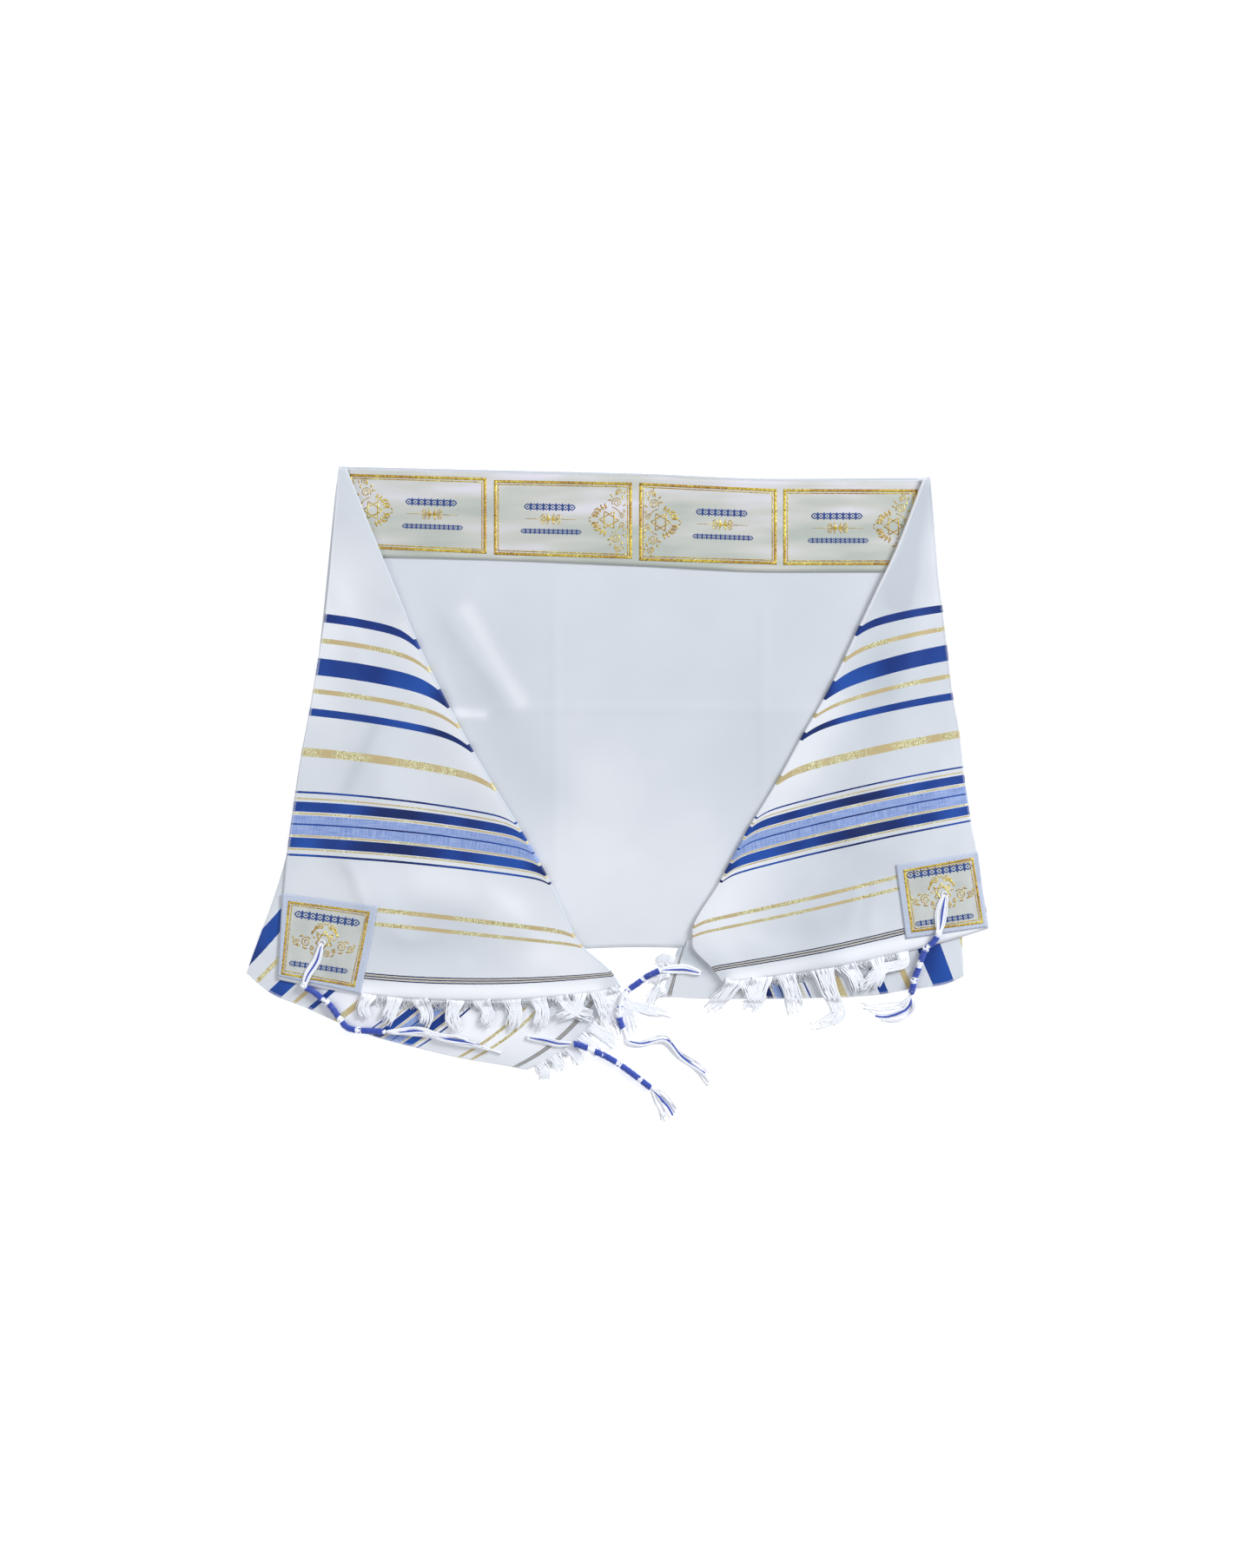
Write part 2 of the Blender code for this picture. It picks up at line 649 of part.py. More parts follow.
def grow_strand(builder, face, chain, widths, heights):
    """Draws a four-sided strand out of a face, along a chain of places."""
    chain = [Vector(place) for place in chain]
    centre = face.calc_center_median()
    side = None
    for corner in face.verts:
        offset = corner.co - centre
        flat = Vector((offset.x, offset.y, 0))
        if flat.length > 1e-6:
            side = flat.normalized()
            break
    if side is None:
        raise ValueError("a strand's root face has no width")
    for step, place in enumerate(chain):
        before = chain[step - 1] if step else centre
        after = chain[step + 1] if step + 1 < len(chain) else place
        run = Vector((after.x - before.x, after.y - before.y, 0)).normalized()
        new_side = Vector((-run.y, run.x, 0))
        if new_side.dot(side) < 0:
            new_side = -new_side
        extruded = bmesh.ops.extrude_discrete_faces(builder, faces=[face])
        face = extruded["faces"][0]
        moved = []
        for corner in face.verts:
            offset = corner.co - centre
            across = 1 if offset.dot(side) > 0 else -1
            up = 1 if offset.z > 0 else -1
            moved.append(place + new_side * across * widths[step] / 2
                         + Vector((0, 0, up * heights[step] / 2)))
        for corner, target in zip(face.verts, moved):
            corner.co = target
        centre, side = place, new_side
    return face


def edge_line(side, layer, shares_across):
    """Places along the fringed end of a layer, with the height of its wall's middle."""
    if layer == "flap":
        plan = flap_plan(side, np.ones(len(shares_across)), shares_across)
        height = flap_level(side, plan[:, 0], plan[:, 1])
    else:
        plan = under_plan(side, np.ones(len(shares_across)), shares_across)
        height = under_level(plan[:, 0], plan[:, 1])
    return np.column_stack([plan, height])


def fringe_stations(length):
    """Stretches of a fringe's strip: where each starts, its width, its strand and its place in a tassel."""
    stations = []
    tassels = max(1, int(length // TASSEL_PITCH))
    pitch = length / tassels
    for tassel in range(tassels):
        middle = (tassel + 0.5) * pitch
        for lock in range(LOCKS_PER_TASSEL):
            stations.append((middle + (lock - (LOCKS_PER_TASSEL - 1) / 2) * LOCK_SPACING, "lock",
                             tassel, lock))
        lashes = int((pitch - LOCKS_PER_TASSEL * LOCK_SPACING) // LASH_PITCH)
        for lash in range(lashes):
            place = middle + LOCKS_PER_TASSEL * LOCK_SPACING / 2 + (lash + LASH_START) * LASH_PITCH
            if place < length - END_CLEAR:
                stations.append((place, "lash", tassel, lash))
    return sorted(stations)


def make_fringe(node, side, layer, from_share, to_share, outward, tassel_length, surface):
    """A narrow strip along the cloth's end, with the fringe's locks and lashes drawn out of it."""
    fine = edge_line(side, layer, np.linspace(from_share, to_share, 160))
    lengths = np.concatenate([[0.0], np.cumsum(np.linalg.norm(np.diff(fine[:, :2], axis=0), axis=1))])
    stations = fringe_stations(lengths[-1])
    bounds = [0.0]
    roots = []
    for place, kind, tassel, lock in stations:
        bounds += [place - LOCK_WIDTH / 2, place + LOCK_WIDTH / 2]
        roots.append((len(bounds) - 2, kind, tassel, lock))
    bounds.append(lengths[-1])
    bounds = np.array(bounds)
    line = np.stack([np.interp(bounds, lengths, fine[:, axis]) for axis in range(3)], axis=1)
    ahead = np.stack([np.interp(bounds + 4, lengths, fine[:, axis]) for axis in range(2)], axis=1)
    behind = np.stack([np.interp(bounds - 4, lengths, fine[:, axis]) for axis in range(2)], axis=1)
    tangent = (ahead - behind) / np.linalg.norm(ahead - behind, axis=1, keepdims=True)
    away = outward * np.stack([-tangent[:, 1], tangent[:, 0]], axis=1)
    builder = bmesh.new()
    rings = []
    for place, direction in zip(line, away):
        ring = []
        for reach, up in ((SEAM, -1), (SEAM, 1), (SEAM + STRIP_DEPTH, 1), (SEAM + STRIP_DEPTH, -1)):
            ring.append(builder.verts.new((place[0] + direction[0] * (reach + STRIP_OFFSET),
                                           place[1] + direction[1] * (reach + STRIP_OFFSET),
                                           place[2] + up * CLOTH / 2)))
        rings.append(ring)
    outer_faces = []
    for this, following in zip(rings[:-1], rings[1:]):
        for corner in range(4):
            after = (corner + 1) % 4
            face = builder.faces.new([this[corner], this[after], following[after], following[corner]])
            if corner == 2:
                outer_faces.append(face)
    builder.faces.new(rings[0])
    builder.faces.new(list(reversed(rings[-1])))
    bmesh.ops.recalc_face_normals(builder, faces=builder.faces)
    for index, kind, tassel, lock in roots:
        root = (line[index] + line[index + 1]) / 2
        direction = (away[index] + away[index + 1]) / 2
        sideways = (tangent[index] + tangent[index + 1]) / 2
        root_plan = root[:2] + direction * (SEAM + STRIP_OFFSET + STRIP_DEPTH)
        if kind == "lash":
            reaches = LASH_REACHES * LASH_LENGTH
            drift = LASH_LEAN * math.sin(lock * LASH_SWINGS[0] + tassel * LASH_SWINGS[1]) * reaches
            fan = np.zeros(2)
        else:
            reaches = LOCK_REACHES * tassel_length * (1 - LOCK_SHORTENING * abs(lock - 1))
            bend = TASSEL_BEND * math.sin(tassel * BEND_SWING[0] + BEND_SWING[1])
            drift = bend * reaches + BEND_GROWTH * bend * reaches ** 2
            fan = (lock - 1) * LOCK_FAN
        chain, widths, heights = [], [], []
        plans = [root_plan + direction * reach + sideways * (drift[step] + fan[step])
                 for step, reach in enumerate(reaches)]
        floors = clear_heights(surface, [root_plan] + plans, LOCK_WIDTH / 2 + SEAM)[1:]
        for step, (plan, reach) in enumerate(zip(plans, reaches)):
            taper = 1 - (1 - TIP_SHARE) * (step + 1) / len(reaches)
            width = LOCK_WIDTH * taper
            ease = min(1.0, reach / SETTLING_REACH)
            settled = floors[step] + STRAND_CLEARANCE + width / 2
            height = max(settled, root[2] * (1 - ease) + settled * ease)
            chain.append((plan[0], plan[1], height))
            widths.append(width)
            heights.append(width if step else min(width, CLOTH))
        grow_strand(builder, outer_faces[index], chain, widths, heights)
    return close_strands(builder, node, "fringe_yarn")


def close_strands(builder, node, finish):
    """Turns a body that strands were drawn from into an object."""
    for vertex in builder.verts:
        vertex.co = vertex.co * MM
    bmesh.ops.recalc_face_normals(builder, faces=builder.faces)
    mesh = bpy.data.meshes.new(node)
    builder.to_mesh(mesh)
    builder.free()
    return finish_object(mesh, node, finish)


def tassel_radius(reach, wound_from):
    """Radius of a corner tassel at a distance from its hole."""
    if reach < wound_from:
        return LOOP_RADIUS
    past = (reach - wound_from) % KNOT_SPACING
    near_knot = min(past, KNOT_SPACING - past) / KNOT_REACH
    return WINDING_RADIUS + (KNOT_RADIUS - WINDING_RADIUS) * max(0.0, 1 - near_knot)


def make_corner_tassel(node, route, ends, wound_from, surface):
    """A tassel of wound cord, from its hole to its free strands."""
    plan = smooth_chain(route, TASSEL_STEP)
    lengths = np.concatenate([[0.0], np.cumsum(np.linalg.norm(np.diff(plan, axis=0), axis=1))])
    radii = [tassel_radius(reach, wound_from) for reach in lengths]
    radii[0] = LOOP_RADIUS * HOLE_TAPER
    floors = clear_heights(surface, plan, WINDING_RADIUS + SEAM)
    heights = [floor + CORD_REST + radius for floor, radius in zip(floors, radii)]
    builder = bmesh.new()
    rings = []
    half = TASSEL_SIDES // 2
    turns = [math.pi * (1 - (index + 0.5) / half) for index in range(half)]
    for index, (x, y) in enumerate(plan):
        before = plan[max(0, index - 1)]
        after = plan[min(len(plan) - 1, index + 1)]
        run = (after - before) / np.linalg.norm(after - before)
        side = (-run[1], run[0])
        ring = []
        for turn in turns + [-turn for turn in reversed(turns)]:
            across = radii[index] * math.cos(turn)
            ring.append(builder.verts.new((x + side[0] * across, y + side[1] * across,
                                           heights[index] + radii[index] * math.sin(turn))))
        rings.append(ring)
    for this, following in zip(rings[:-1], rings[1:]):
        for corner in range(TASSEL_SIDES):
            after = (corner + 1) % TASSEL_SIDES
            builder.faces.new([this[corner], this[after], following[after], following[corner]])
    builder.faces.new(list(reversed(rings[0])))
    caps = []
    last = rings[-1]
    for corner in range(half - 1):
        caps.append(builder.faces.new([last[corner], last[corner + 1], last[-corner - 2],
                                       last[-corner - 1]]))
    bmesh.ops.recalc_face_normals(builder, faces=builder.faces)
    end_height = heights[-1]
    ordered = sorted(ends, key=lambda end: end[0][0] * side[0] + end[0][1] * side[1])
    for cap, end in zip(caps[::2], ordered):
        start = cap.calc_center_median()
        chain = smooth_chain([(start.x, start.y)] + list(end), END_STEP)
        floors = clear_heights(surface, chain, STRAND_RADIUS + SEAM)[1:]
        places = []
        for step, ((x, y), floor) in enumerate(zip(chain[1:], floors)):
            settled = floor + STRAND_CLEARANCE + STRAND_RADIUS
            ease = min(1.0, (step + 1) / 2)
            places.append((x, y, max(settled, end_height * (1 - ease) + settled * ease)))
        size = [2 * STRAND_RADIUS] * len(places)
        size[-1] = 2 * STRAND_RADIUS * TIP_SHARE
        grow_strand(builder, cap, places, size, size)
    return close_strands(builder, node, "tassel_cord")


# The shawl

def clear_scene():
    """Removes whatever the scene holds."""
    for piece in list(bpy.data.objects):
        bpy.data.objects.remove(piece, do_unlink=True)


def build_shawl():
    """Every part, each laid on those below it."""
    back = make_back_panel()
    collar = make_collar()
    unders = {side: make_under(side) for side in SECTIONS}
    flaps = {side: make_flap(side) for side in SECTIONS}
    patches = {side: make_patch(side, flaps[side]) for side in SECTIONS}
    cloth = [back, collar, *unders.values(), *flaps.values(), *patches.values()]
    fringes = []
    for row in FRINGES:
        fringes.append(make_fringe(*row, surface_of(cloth + fringes)))
    laid = cloth + fringes
    for node, (route, ends, wound_from) in TASSELS.items():
        laid.append(make_corner_tassel(node, route, ends, wound_from, surface_of(laid)))


clear_scene()
build_shawl()
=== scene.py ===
"""Tallit prayer shawl, laid out flat: the dressed model over its CAD frame.

The cloth is made as thin sheets on the form of the CAD solids. Stitches, prints, fringe and corner
tassels are laid on the cloth. Plan positions are in millimetres until a mesh is made: x to the right, y
towards the collar, z up.
"""

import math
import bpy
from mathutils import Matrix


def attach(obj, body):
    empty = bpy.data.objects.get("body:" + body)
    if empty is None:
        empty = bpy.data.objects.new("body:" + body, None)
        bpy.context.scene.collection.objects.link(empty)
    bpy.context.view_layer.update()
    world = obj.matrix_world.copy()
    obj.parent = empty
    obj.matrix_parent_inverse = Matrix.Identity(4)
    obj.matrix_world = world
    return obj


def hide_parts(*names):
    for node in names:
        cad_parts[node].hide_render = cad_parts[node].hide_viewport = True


bl_info = {
    "name": "Tallit Prayer Shawl",
    "version": (1, 0, 0),
    "blender": (4, 5, 0),
    "location": "3D View > Sidebar > Shawl",
    "description": "Dresses the laid-out prayer shawl: striped cloth, collar, patches, fringe and tassels",
    "category": "Object",
}

import bpy
import numpy as np
from mathutils import Vector
from mathutils.bvhtree import BVHTree

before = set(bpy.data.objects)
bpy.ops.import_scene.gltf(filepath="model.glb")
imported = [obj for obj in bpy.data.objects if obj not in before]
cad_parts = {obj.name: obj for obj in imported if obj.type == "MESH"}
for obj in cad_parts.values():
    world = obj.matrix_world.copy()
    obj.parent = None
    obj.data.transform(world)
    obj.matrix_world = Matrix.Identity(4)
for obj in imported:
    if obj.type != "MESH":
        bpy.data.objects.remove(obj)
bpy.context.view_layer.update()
MM = 0.001

# Levels of the cloth, the same as in the solids that the sheets stand for
SOLID_CLOTH = 1.2
SOLID_COLLAR = 1.0
SEAM = 0.3
LAYER = SOLID_CLOTH + 0.6
FLOOR_LEVEL = SOLID_CLOTH / 2
BACK_LEVEL = FLOOR_LEVEL + SOLID_CLOTH + SEAM
INNER_ROLL = 2.5
ROLL_REACH = 45.0
STEP_REACH = 80.0
COLLAR_CLEAR = 3.0
FOLD_RETURN = 6.0
CORNER_DROOP = 1.6
DROOP_REACH = 30.0
OUTER_TURN = ((8.0, 0.0), (6.0, 0.02), (4.5, 0.12), (3.0, 0.3), (1.8, 0.55), (0.9, 0.8), (0.3, 0.95))
BACK_INSET = 5.6
SHORT_ROW = 110.0
OBLIQUE_ROWS = 1.4
CORNER_SHARE = 0.28
CURL_START = 0.74
CURL_RUN = 0.09
CURL_SHARE = 0.85
COLLAR_REST = 0.1
OUTWARD = {"left": -1, "right": 1}
SIDES = ("left", "right")

# One row for each section down a flap: share of its length, then plan points of its selvage, its inner
# fold, the place where the layer below starts, and that layer's outer edge, and how far stripes bow
SECTION_COLUMNS = ("share", "selvage_x", "selvage_y", "fold_x", "fold_y",
                   "under_x", "under_y", "edge_x", "edge_y", "bow")
SECTIONS = {
    "left": (
        (0.000, -348, 280, -340, 280, -340, 280, -351, 258, 0),
        (0.150, -356, 190, -297, 174, -297, 174, -382, -15, 0),
        (0.220, -360, 147, -277, 125, -277, 125, -410, -172, 0),
        (0.280, -364, 112, -260, 83, -260, 83, -456, -309, 2),
        (0.390, -374, 46, -224, 9, -224, 9, -425, -334, 3),
        (0.480, -383, -7, -193, -49, -193, -49, -388, -349, 3),
        (0.560, -392, -54, -166, -94, -166, -94, -360, -362, 4),
        (0.670, -402, -121, -129, -155, -129, -155, -310, -382, 5),
        (0.760, -409, -173, -101, -206, -101, -206, -263, -395, 4),
        (0.850, -414, -230, -71, -270, -71, -270, -206, -408, 0),
        (0.965, -418, -300, -30, -309, -30, -309, -144, -419, -13),
        (1.000, -420, -316, -20, -325, -20, -325, -130, -422, -20),
    ),
    "right": (
        (0.000, 339, 268, 332, 268, 332, 268, 342, 245, 0),
        (0.150, 346, 187, 298, 181, 298, 181, 365, -45, 0),
        (0.220, 349, 152, 277, 137, 277, 137, 373, -180, 0),
        (0.280, 353, 122, 259, 99, 259, 99, 379, -313, 2),
        (0.390, 360, 64, 221, 20, 221, 20, 356, -322, 3),
        (0.480, 366, 14, 191, -32, 191, -32, 315, -328, 3),
        (0.560, 374, -30, 163, -83, 163, -83, 273, -335, 3),
        (0.670, 380, -85, 125, -146, 125, -146, 212, -338, 4),
        (0.760, 387, -132, 95, -202, 95, -202, 152, -339, 3),
        (0.850, 396, -177, 63, -260, 63, -260, 108, -339, -4),
        (0.890, 399, -200, 63, -275, 58, -268, 80, -339, -4),
        (0.965, 405, -235, 88, -305, 53, -279, 36, -337, -6),
        (1.000, 408, -257, 99, -320, 47, -279, 25, -338, -9),
    ),
}

# Edges of the back panel and of the collar band
BACK_COLUMNS = ("across", "top_y", "bottom_y", "collar_top_y", "collar_bottom_y")
BACK_ROWS = (
    (-456, 283, -309, 279, 178),
    (-345, 281, -300, 277, 176),
    (-173, 277, -288, 273, 172),
    (0, 273, -279, 270, 165),
    (161, 267, -286, 264, 158),
    (335, 268, -308, 263, 158),
    (380, 268, -314, 263, 158),
)
BACK_GUESS = (-345, 682)
COLLAR_LEFT = (-339, -349)
COLLAR_RIGHT = (329, 334)

# Broad swells of the solids, then the scene's own creases: from, to, width, height
FLAP_SWELLS = (
    (-322, 60, -300, -120, 34, 2.5),
    (-330, -170, -292, -250, 26, 4.0),
    (-235, -205, -120, -245, 40, 3.0),
    (-255, -330, -110, -335, 30, 3.5),
    (300, 70, 275, -90, 34, 2.5),
    (250, -150, 205, -235, 30, 3.5),
    (345, -120, 320, -170, 28, 3.0),
    (235, -290, 140, -290, 26, 3.5),
)
UNDER_SWELLS = (
    (-436, -255, -440, -300, 30, 1.2),
    (-330, -370, -280, -330, 26, 2.2),
    (-205, -395, -150, -345, 30, 2.6),
    (-95, -395, -60, -350, 26, 2.6),
    (345, -300, 335, -325, 22, 1.6),
    (235, -325, 222, -300, 22, 2.2),
    (118, -330, 100, -300, 20, 2.0),
)
FLAP_CREASES = (
    (-342, -178, -312, -232, 7, 1.3),
    (-283, -270, -216, -262, 9, 1.2),
    (-252, -322, -196, -300, 10, 1.0),
    (-180, -205, -128, -262, 11, 0.9),
    (-350, 150, -318, 20, 12, 0.8),
    (-262, 20, -300, -96, 14, 0.9),
    (148, -256, 214, -194, 10, 1.2),
    (252, -206, 246, -262, 7, 1.1),
    (276, -200, 272, -268, 8, 0.9),
    (322, 120, 300, -10, 13, 0.9),
    (200, -100, 250, -160, 15, 0.8),
    (360, -60, 332, -130, 10, 0.9),
)
UNDER_CREASES = (
    (-300, -392, -250, -352, 8, 0.8),
    (-420, -240, -436, -290, 9, 0.7),
    (-180, -404, -128, -362, 9, 0.9),
    (290, -330, 268, -296, 8, 0.8),
)
BACK_CREASES = (
    (-228, 120, -153, 0, 10, 0.9),
    (-234, 63, -215, 0, 4, 0.7),
    (-211, -9, -174, -9, 2.5, 0.6),
    (-300, 0, 260, -6, 5, 0.55),
    (-96, 150, -100, -284, 5, 0.45),
    (146, 150, 142, -280, 5, 0.40),
    (-250, -120, -60, -250, 42, 0.80),
    (30, 90, 200, -60, 50, 0.70),
    (-120, 120, -20, -60, 46, 0.60),
)

# Painted light and shade on the white: where it is painted brighter or duller than elsewhere, as from, to,
# width, how much
MIDDLE_TONE = 0.44
FLAP_PAINTED_LIGHT = (
    (262, 100, 92, -232, 42, 0.26),
    (330, 250, 305, 126, 15, -0.50),
    (352, 200, 358, 120, 14, 0.22),
    (285, 140, 268, 40, 36, -0.40),
    (300, 20, 235, -120, 55, -0.18),
    (262, -180, 215, -262, 40, -0.30),
    (392, 40, 398, -130, 22, 0.12),
    (-345, 150, -372, 20, 40, 0.22),
    (-262, 80, -136, -126, 30, 0.22),
    (-305, -20, -340, -96, 8, -0.28),
    (-250, -200, -150, -235, 26, 0.22),
    (-262, -262, -200, -250, 30, -0.22),
    (-110, -290, -60, -310, 26, 0.28),
    (-380, -200, -330, -215, 26, 0.12),
    (-150, -180, -70, -260, 40, 0.10),
    (-380, -328, -50, -330, 10, 0.45),
    (390, -256, 115, -314, 9, 0.40),
)
# Tone of the rolled inner folds: one faces the light, and the other turns away from it
ROLL_TONES = {"left": 0.12, "right": 0.85}
# Painted light and shade on the white of the lower layers and the back panel, with painted shadows beside the
# folds: from, to, width, how much
LOWER_PAINTED_LIGHT = (
    (-215, 100, -120, -90, 34, -0.22),
    (-200, 112, -138, 8, 12, 0.30),
    (-210, -6, -180, -8, 6, 0.45),
    (190, 120, 120, -40, 70, -0.16),
    (-30, -190, 60, -250, 110, 0.16),
    (-120, 60, 60, 100, 60, -0.06),
    (50, -284, 78, -298, 9, -0.80),
    (-440, -240, -452, -300, 18, 0.10),
    (-330, -350, -120, -380, 40, 0.45),
)

# Stripes, as the share of a flap's length at which each starts and ends
BLUE_STRIPES = ((0.285, 0.302), (0.373, 0.407), (0.474, 0.489), (0.6360, 0.6400), (0.656, 0.675),
                (0.6980, 0.7010), (0.7255, 0.745), (0.7570, 0.7612))
GOLD_STRIPES = ((0.3335, 0.3430), (0.4345, 0.4440), (0.553, 0.570), (0.6485, 0.6515), (0.677, 0.6805),
                (0.7205, 0.7240), (0.7465, 0.7495), (0.8355, 0.8430), (0.8605, 0.8680))
CHAMBRAY_BAND = ((0.682, 0.720),)
NAVY_LINES = ((0.9574, 0.9597), (0.9625, 0.9648), (0.9676, 0.9699))
SILVER_LINES = ((0.9602, 0.9620), (0.9653, 0.9671))
FLAP_LENGTH = 0.6
# Share of the length by which the edges of stripes waver
STRIPE_WAVER = 0.0008
# Scale of a wave texture whose bands stand a metre apart
WAVES_A_METRE = 0.314
# How far a stripe's middle stands above the line between its ends, and how sharply it hooks down at the
# fold: share of the flap's length, part of the drop between the ends, sharpness
STRIPE_HOOKS = ((0.0, 0.20, 9), (0.28, 0.34, 10), (0.39, 0.29, 11), (0.48, 0.30, 14), (0.56, 0.24, 21),
                (0.67, 0.17, 40), (0.76, 0.14, 45), (0.90, 0.05, 50), (1.0, 0.0, 60))
HOOK_PART = {"left": 1.0, "right": 0.65}
# Share of the length that is woven at a place, where the cloth is drawn out of true
WOVEN_SHARES = {
    "left_flap": ((0, 0), (0.28, 0.28), (0.474, 0.479), (0.56, 0.566), (0.64, 0.646), (0.68, 0.6855),
                  (0.745, 0.748), (0.84, 0.84), (1, 1)),
    "right_flap": ((0, 0), (1, 1)),
    "left_under": ((0, 0), (0.28, 0.305), (0.38, 0.38), (1, 1)),
    "right_under": ((0, 0), (0.28, 0.351), (0.39, 0.39), (0.79, 0.79), (0.83, 0.90), (0.90, 0.93),
                    (0.95, 0.95), (1, 1)),
}

# Corner patches: corners from the upper one on the left, clockwise
PATCHES = {
    "left": ((-414, -216), (-302, -231), (-323, -333), (-419, -312)),
    "right": ((299, -183), (395, -168), (406, -255), (311, -269)),
}
# The gold frame's corners on each patch, in the same order
PATCH_FRAMES = {
    "left": ((-407, -225), (-311.7, -237), (-329.3, -325), (-415, -310.5)),
    "right": ((307.7, -188.5), (389.4, -174.5), (401, -251), (317.2, -261.5)),
}
HOLES = {"left": (-368, -274), "right": (356, -218)}
FRAYED_SHARE = 0.075
PATCH_GAP = 0.35
EYELET_RADIUS = 3.4
EYELET_THREAD = 0.8

# Frames printed on the collar: left and right x, then y at the four corners. Side says on which side
# the rosette stands; the last four are the rosette's place and the middle of the ornament.
COLLAR_FRAMES = (
    (-336.4, -176.8, 272.0, 267.5, 185.9, 179.2, -1, -309, 230, -240, 225),
    (-167.9, -7.5, 265.0, 262.0, 177.9, 173.3, 1, -34, 218.6, -102, 219.5),
    (1.0, 161.0, 261.7, 254.5, 171.1, 166.5, -1, 26, 216, 98, 213),
    (168.7, 324.8, 254.5, 254.0, 165.9, 165.9, 1, 297, 211, 232, 209),
)

# Prints: leaves as place, length, turn, bend and width, scrolls as place, radius, start, hand and width
ROSETTE_LEAVES = (
    (2.4, 22.0, 4.6, 2.3, 0.7, 1.7), (3.4, 26.0, 4.6, 1.7, 0.6, 1.6), (14.6, 24.4, 5.0, 0.9, 0.8, 1.6),
    (15.4, 17.0, 4.4, -0.2, 0.8, 1.5), (7.0, 28.8, 5.2, 0.9, 0.7, 1.6), (15.8, 31.0, 3.8, 0.2, 0.8, 1.4),
    (9.0, 37.4, 4.2, 0.9, 0.6, 1.5), (17.6, 8.8, 4.2, 1.2, 0.7, 1.4), (-20.6, 2.4, 3.4, 2.9, 0.8, 1.4),
    (-13.4, 10.8, 4.4, 2.3, 0.7, 1.6),
)
PATCH_SCROLLS = (
    (20.5, -5.0, 6.2, 2.4, -1, 1.1), (32.0, -7.0, 4.2, 2.8, -1, 1.0), (6.2, 15.2, 4.2, -0.6, 1, 1.0),
    (4.8, -15.6, 4.2, 2.2, -1, 1.0), (13.2, -11.4, 2.8, 1.0, 1, 0.9),
)
PATCH_LEAVES = (
    (14.6, 4.6, 5.0, 1.0, 0.8, 1.9), (12.6, 9.4, 5.0, 1.4, 0.7, 1.9), (8.8, 12.6, 4.6, 1.0, -0.6, 1.8),
    (10.6, 7.0, 3.6, 2.6, 0.6, 1.5), (13.8, 1.6, 4.0, 2.8, 0.6, 1.5), (24.0, 1.2, 5.0, 0.5, -0.8, 1.8),
    (26.6, -10.0, 5.4, -0.5, 0.8, 1.8), (18.0, -12.4, 6.0, -0.3, 0.5, 1.8),
    (35.4, -3.8, 3.8, 0.9, 0.7, 1.5), (9.4, -18.2, 5.4, 0.2, 0.5, 1.7), (1.4, 17.0, 3.8, 1.9, -0.8, 1.4),
)
PRINT_LIFT = 0.02
PRINT_THICKNESS = 0.16
THINNEST_LINE = 0.12
SCROLL_STEPS = 18
LEAF_STEPS = 6

# Corner tassels: the way that each lies, from its hole to the end of its wound part
TASSEL_ROUTES = {
    "left_front_tassel": ((-368, -274), (-373, -292), (-385, -313), (-388, -324), (-379, -329),
                          (-368, -338), (-361, -343), (-348, -360), (-338, -372), (-326, -375),
                          (-308, -376), (-294, -377)),
    "right_front_tassel": ((356, -218), (352, -237), (349, -260), (343, -272), (334, -280), (328, -294),
                           (325, -304), (321, -314), (319, -324), (317, -334)),
    "left_back_tassel": ((-130, -384), (-110, -387), (-91, -391), (-75, -391), (-59, -396), (-45, -402),
                         (-30, -410), (-15, -420), (1, -432), (15, -443)),
    "right_back_tassel": ((73, -309), (51, -304), (29, -305), (13, -311), (-1, -321), (-13, -330),
                          (-21, -344), (-22, -361), (-17, -375)),
}
# Free ends of each tassel, then its windings and knots as distances from the hole
TASSEL_ENDS = {
    "left_front_tassel": (
        ((-282, -374), (-255, -373), (-228, -379), (-200, -385)),
        ((-282, -377), (-255, -377), (-228, -384), (-190, -392), (-166, -398)),
        ((-282, -380), (-254, -381), (-225, -389), (-186, -396), (-155, -403)),
    ),
    "right_front_tassel": (
        ((321, -347), (314, -360), (297, -366), (275, -361)),
        ((315, -346), (307, -354), (285, -358), (262, -354)),
        ((308, -341), (296, -343), (275, -346), (252, -341)),
    ),
    "left_back_tassel": (
        ((27, -446), (38, -455), (48, -470)),
        ((23, -452), (32, -464), (40, -480)),
        ((17, -456), (24, -470), (29, -488)),
    ),
    "right_back_tassel": (
        ((-12, -386), (3, -387), (29, -381), (53, -402), (74, -417), (94, -436)),
        ((-13, -388), (1, -391), (28, -386), (50, -406), (71, -421), (91, -440)),
        ((-15, -390), (-1, -395), (26, -391), (48, -410), (68, -425), (84, -443)),
    ),
}
WINDINGS = {
    "left_front_tassel": ((57, 80), (90, 108), (116, 134), (142, 167)),
    "right_front_tassel": ((50, 63), (72, 84), (93, 104), (112, 124)),
    "left_back_tassel": ((56, 72), (82, 110), (117, 142), (147, 160)),
    "right_back_tassel": ((50, 68), (73, 90), (127, 140)),
}
KNOTS = {
    "left_front_tassel": (53, 85, 112, 138),
    "right_front_tassel": (45, 68, 88, 108),
    "left_back_tassel": (77, 113, 144),
    "right_back_tassel": (70, 95, 101, 115, 123),
}
LOOP_SPREAD = {"left_front_tassel": 3.2, "right_front_tassel": 5.2,
               "left_back_tassel": 2.6, "right_back_tassel": 3.6}
LOOP_LENGTH = {"left_front_tassel": 55.0, "right_front_tassel": 43.0,
               "left_back_tassel": 54.0, "right_back_tassel": 48.0}

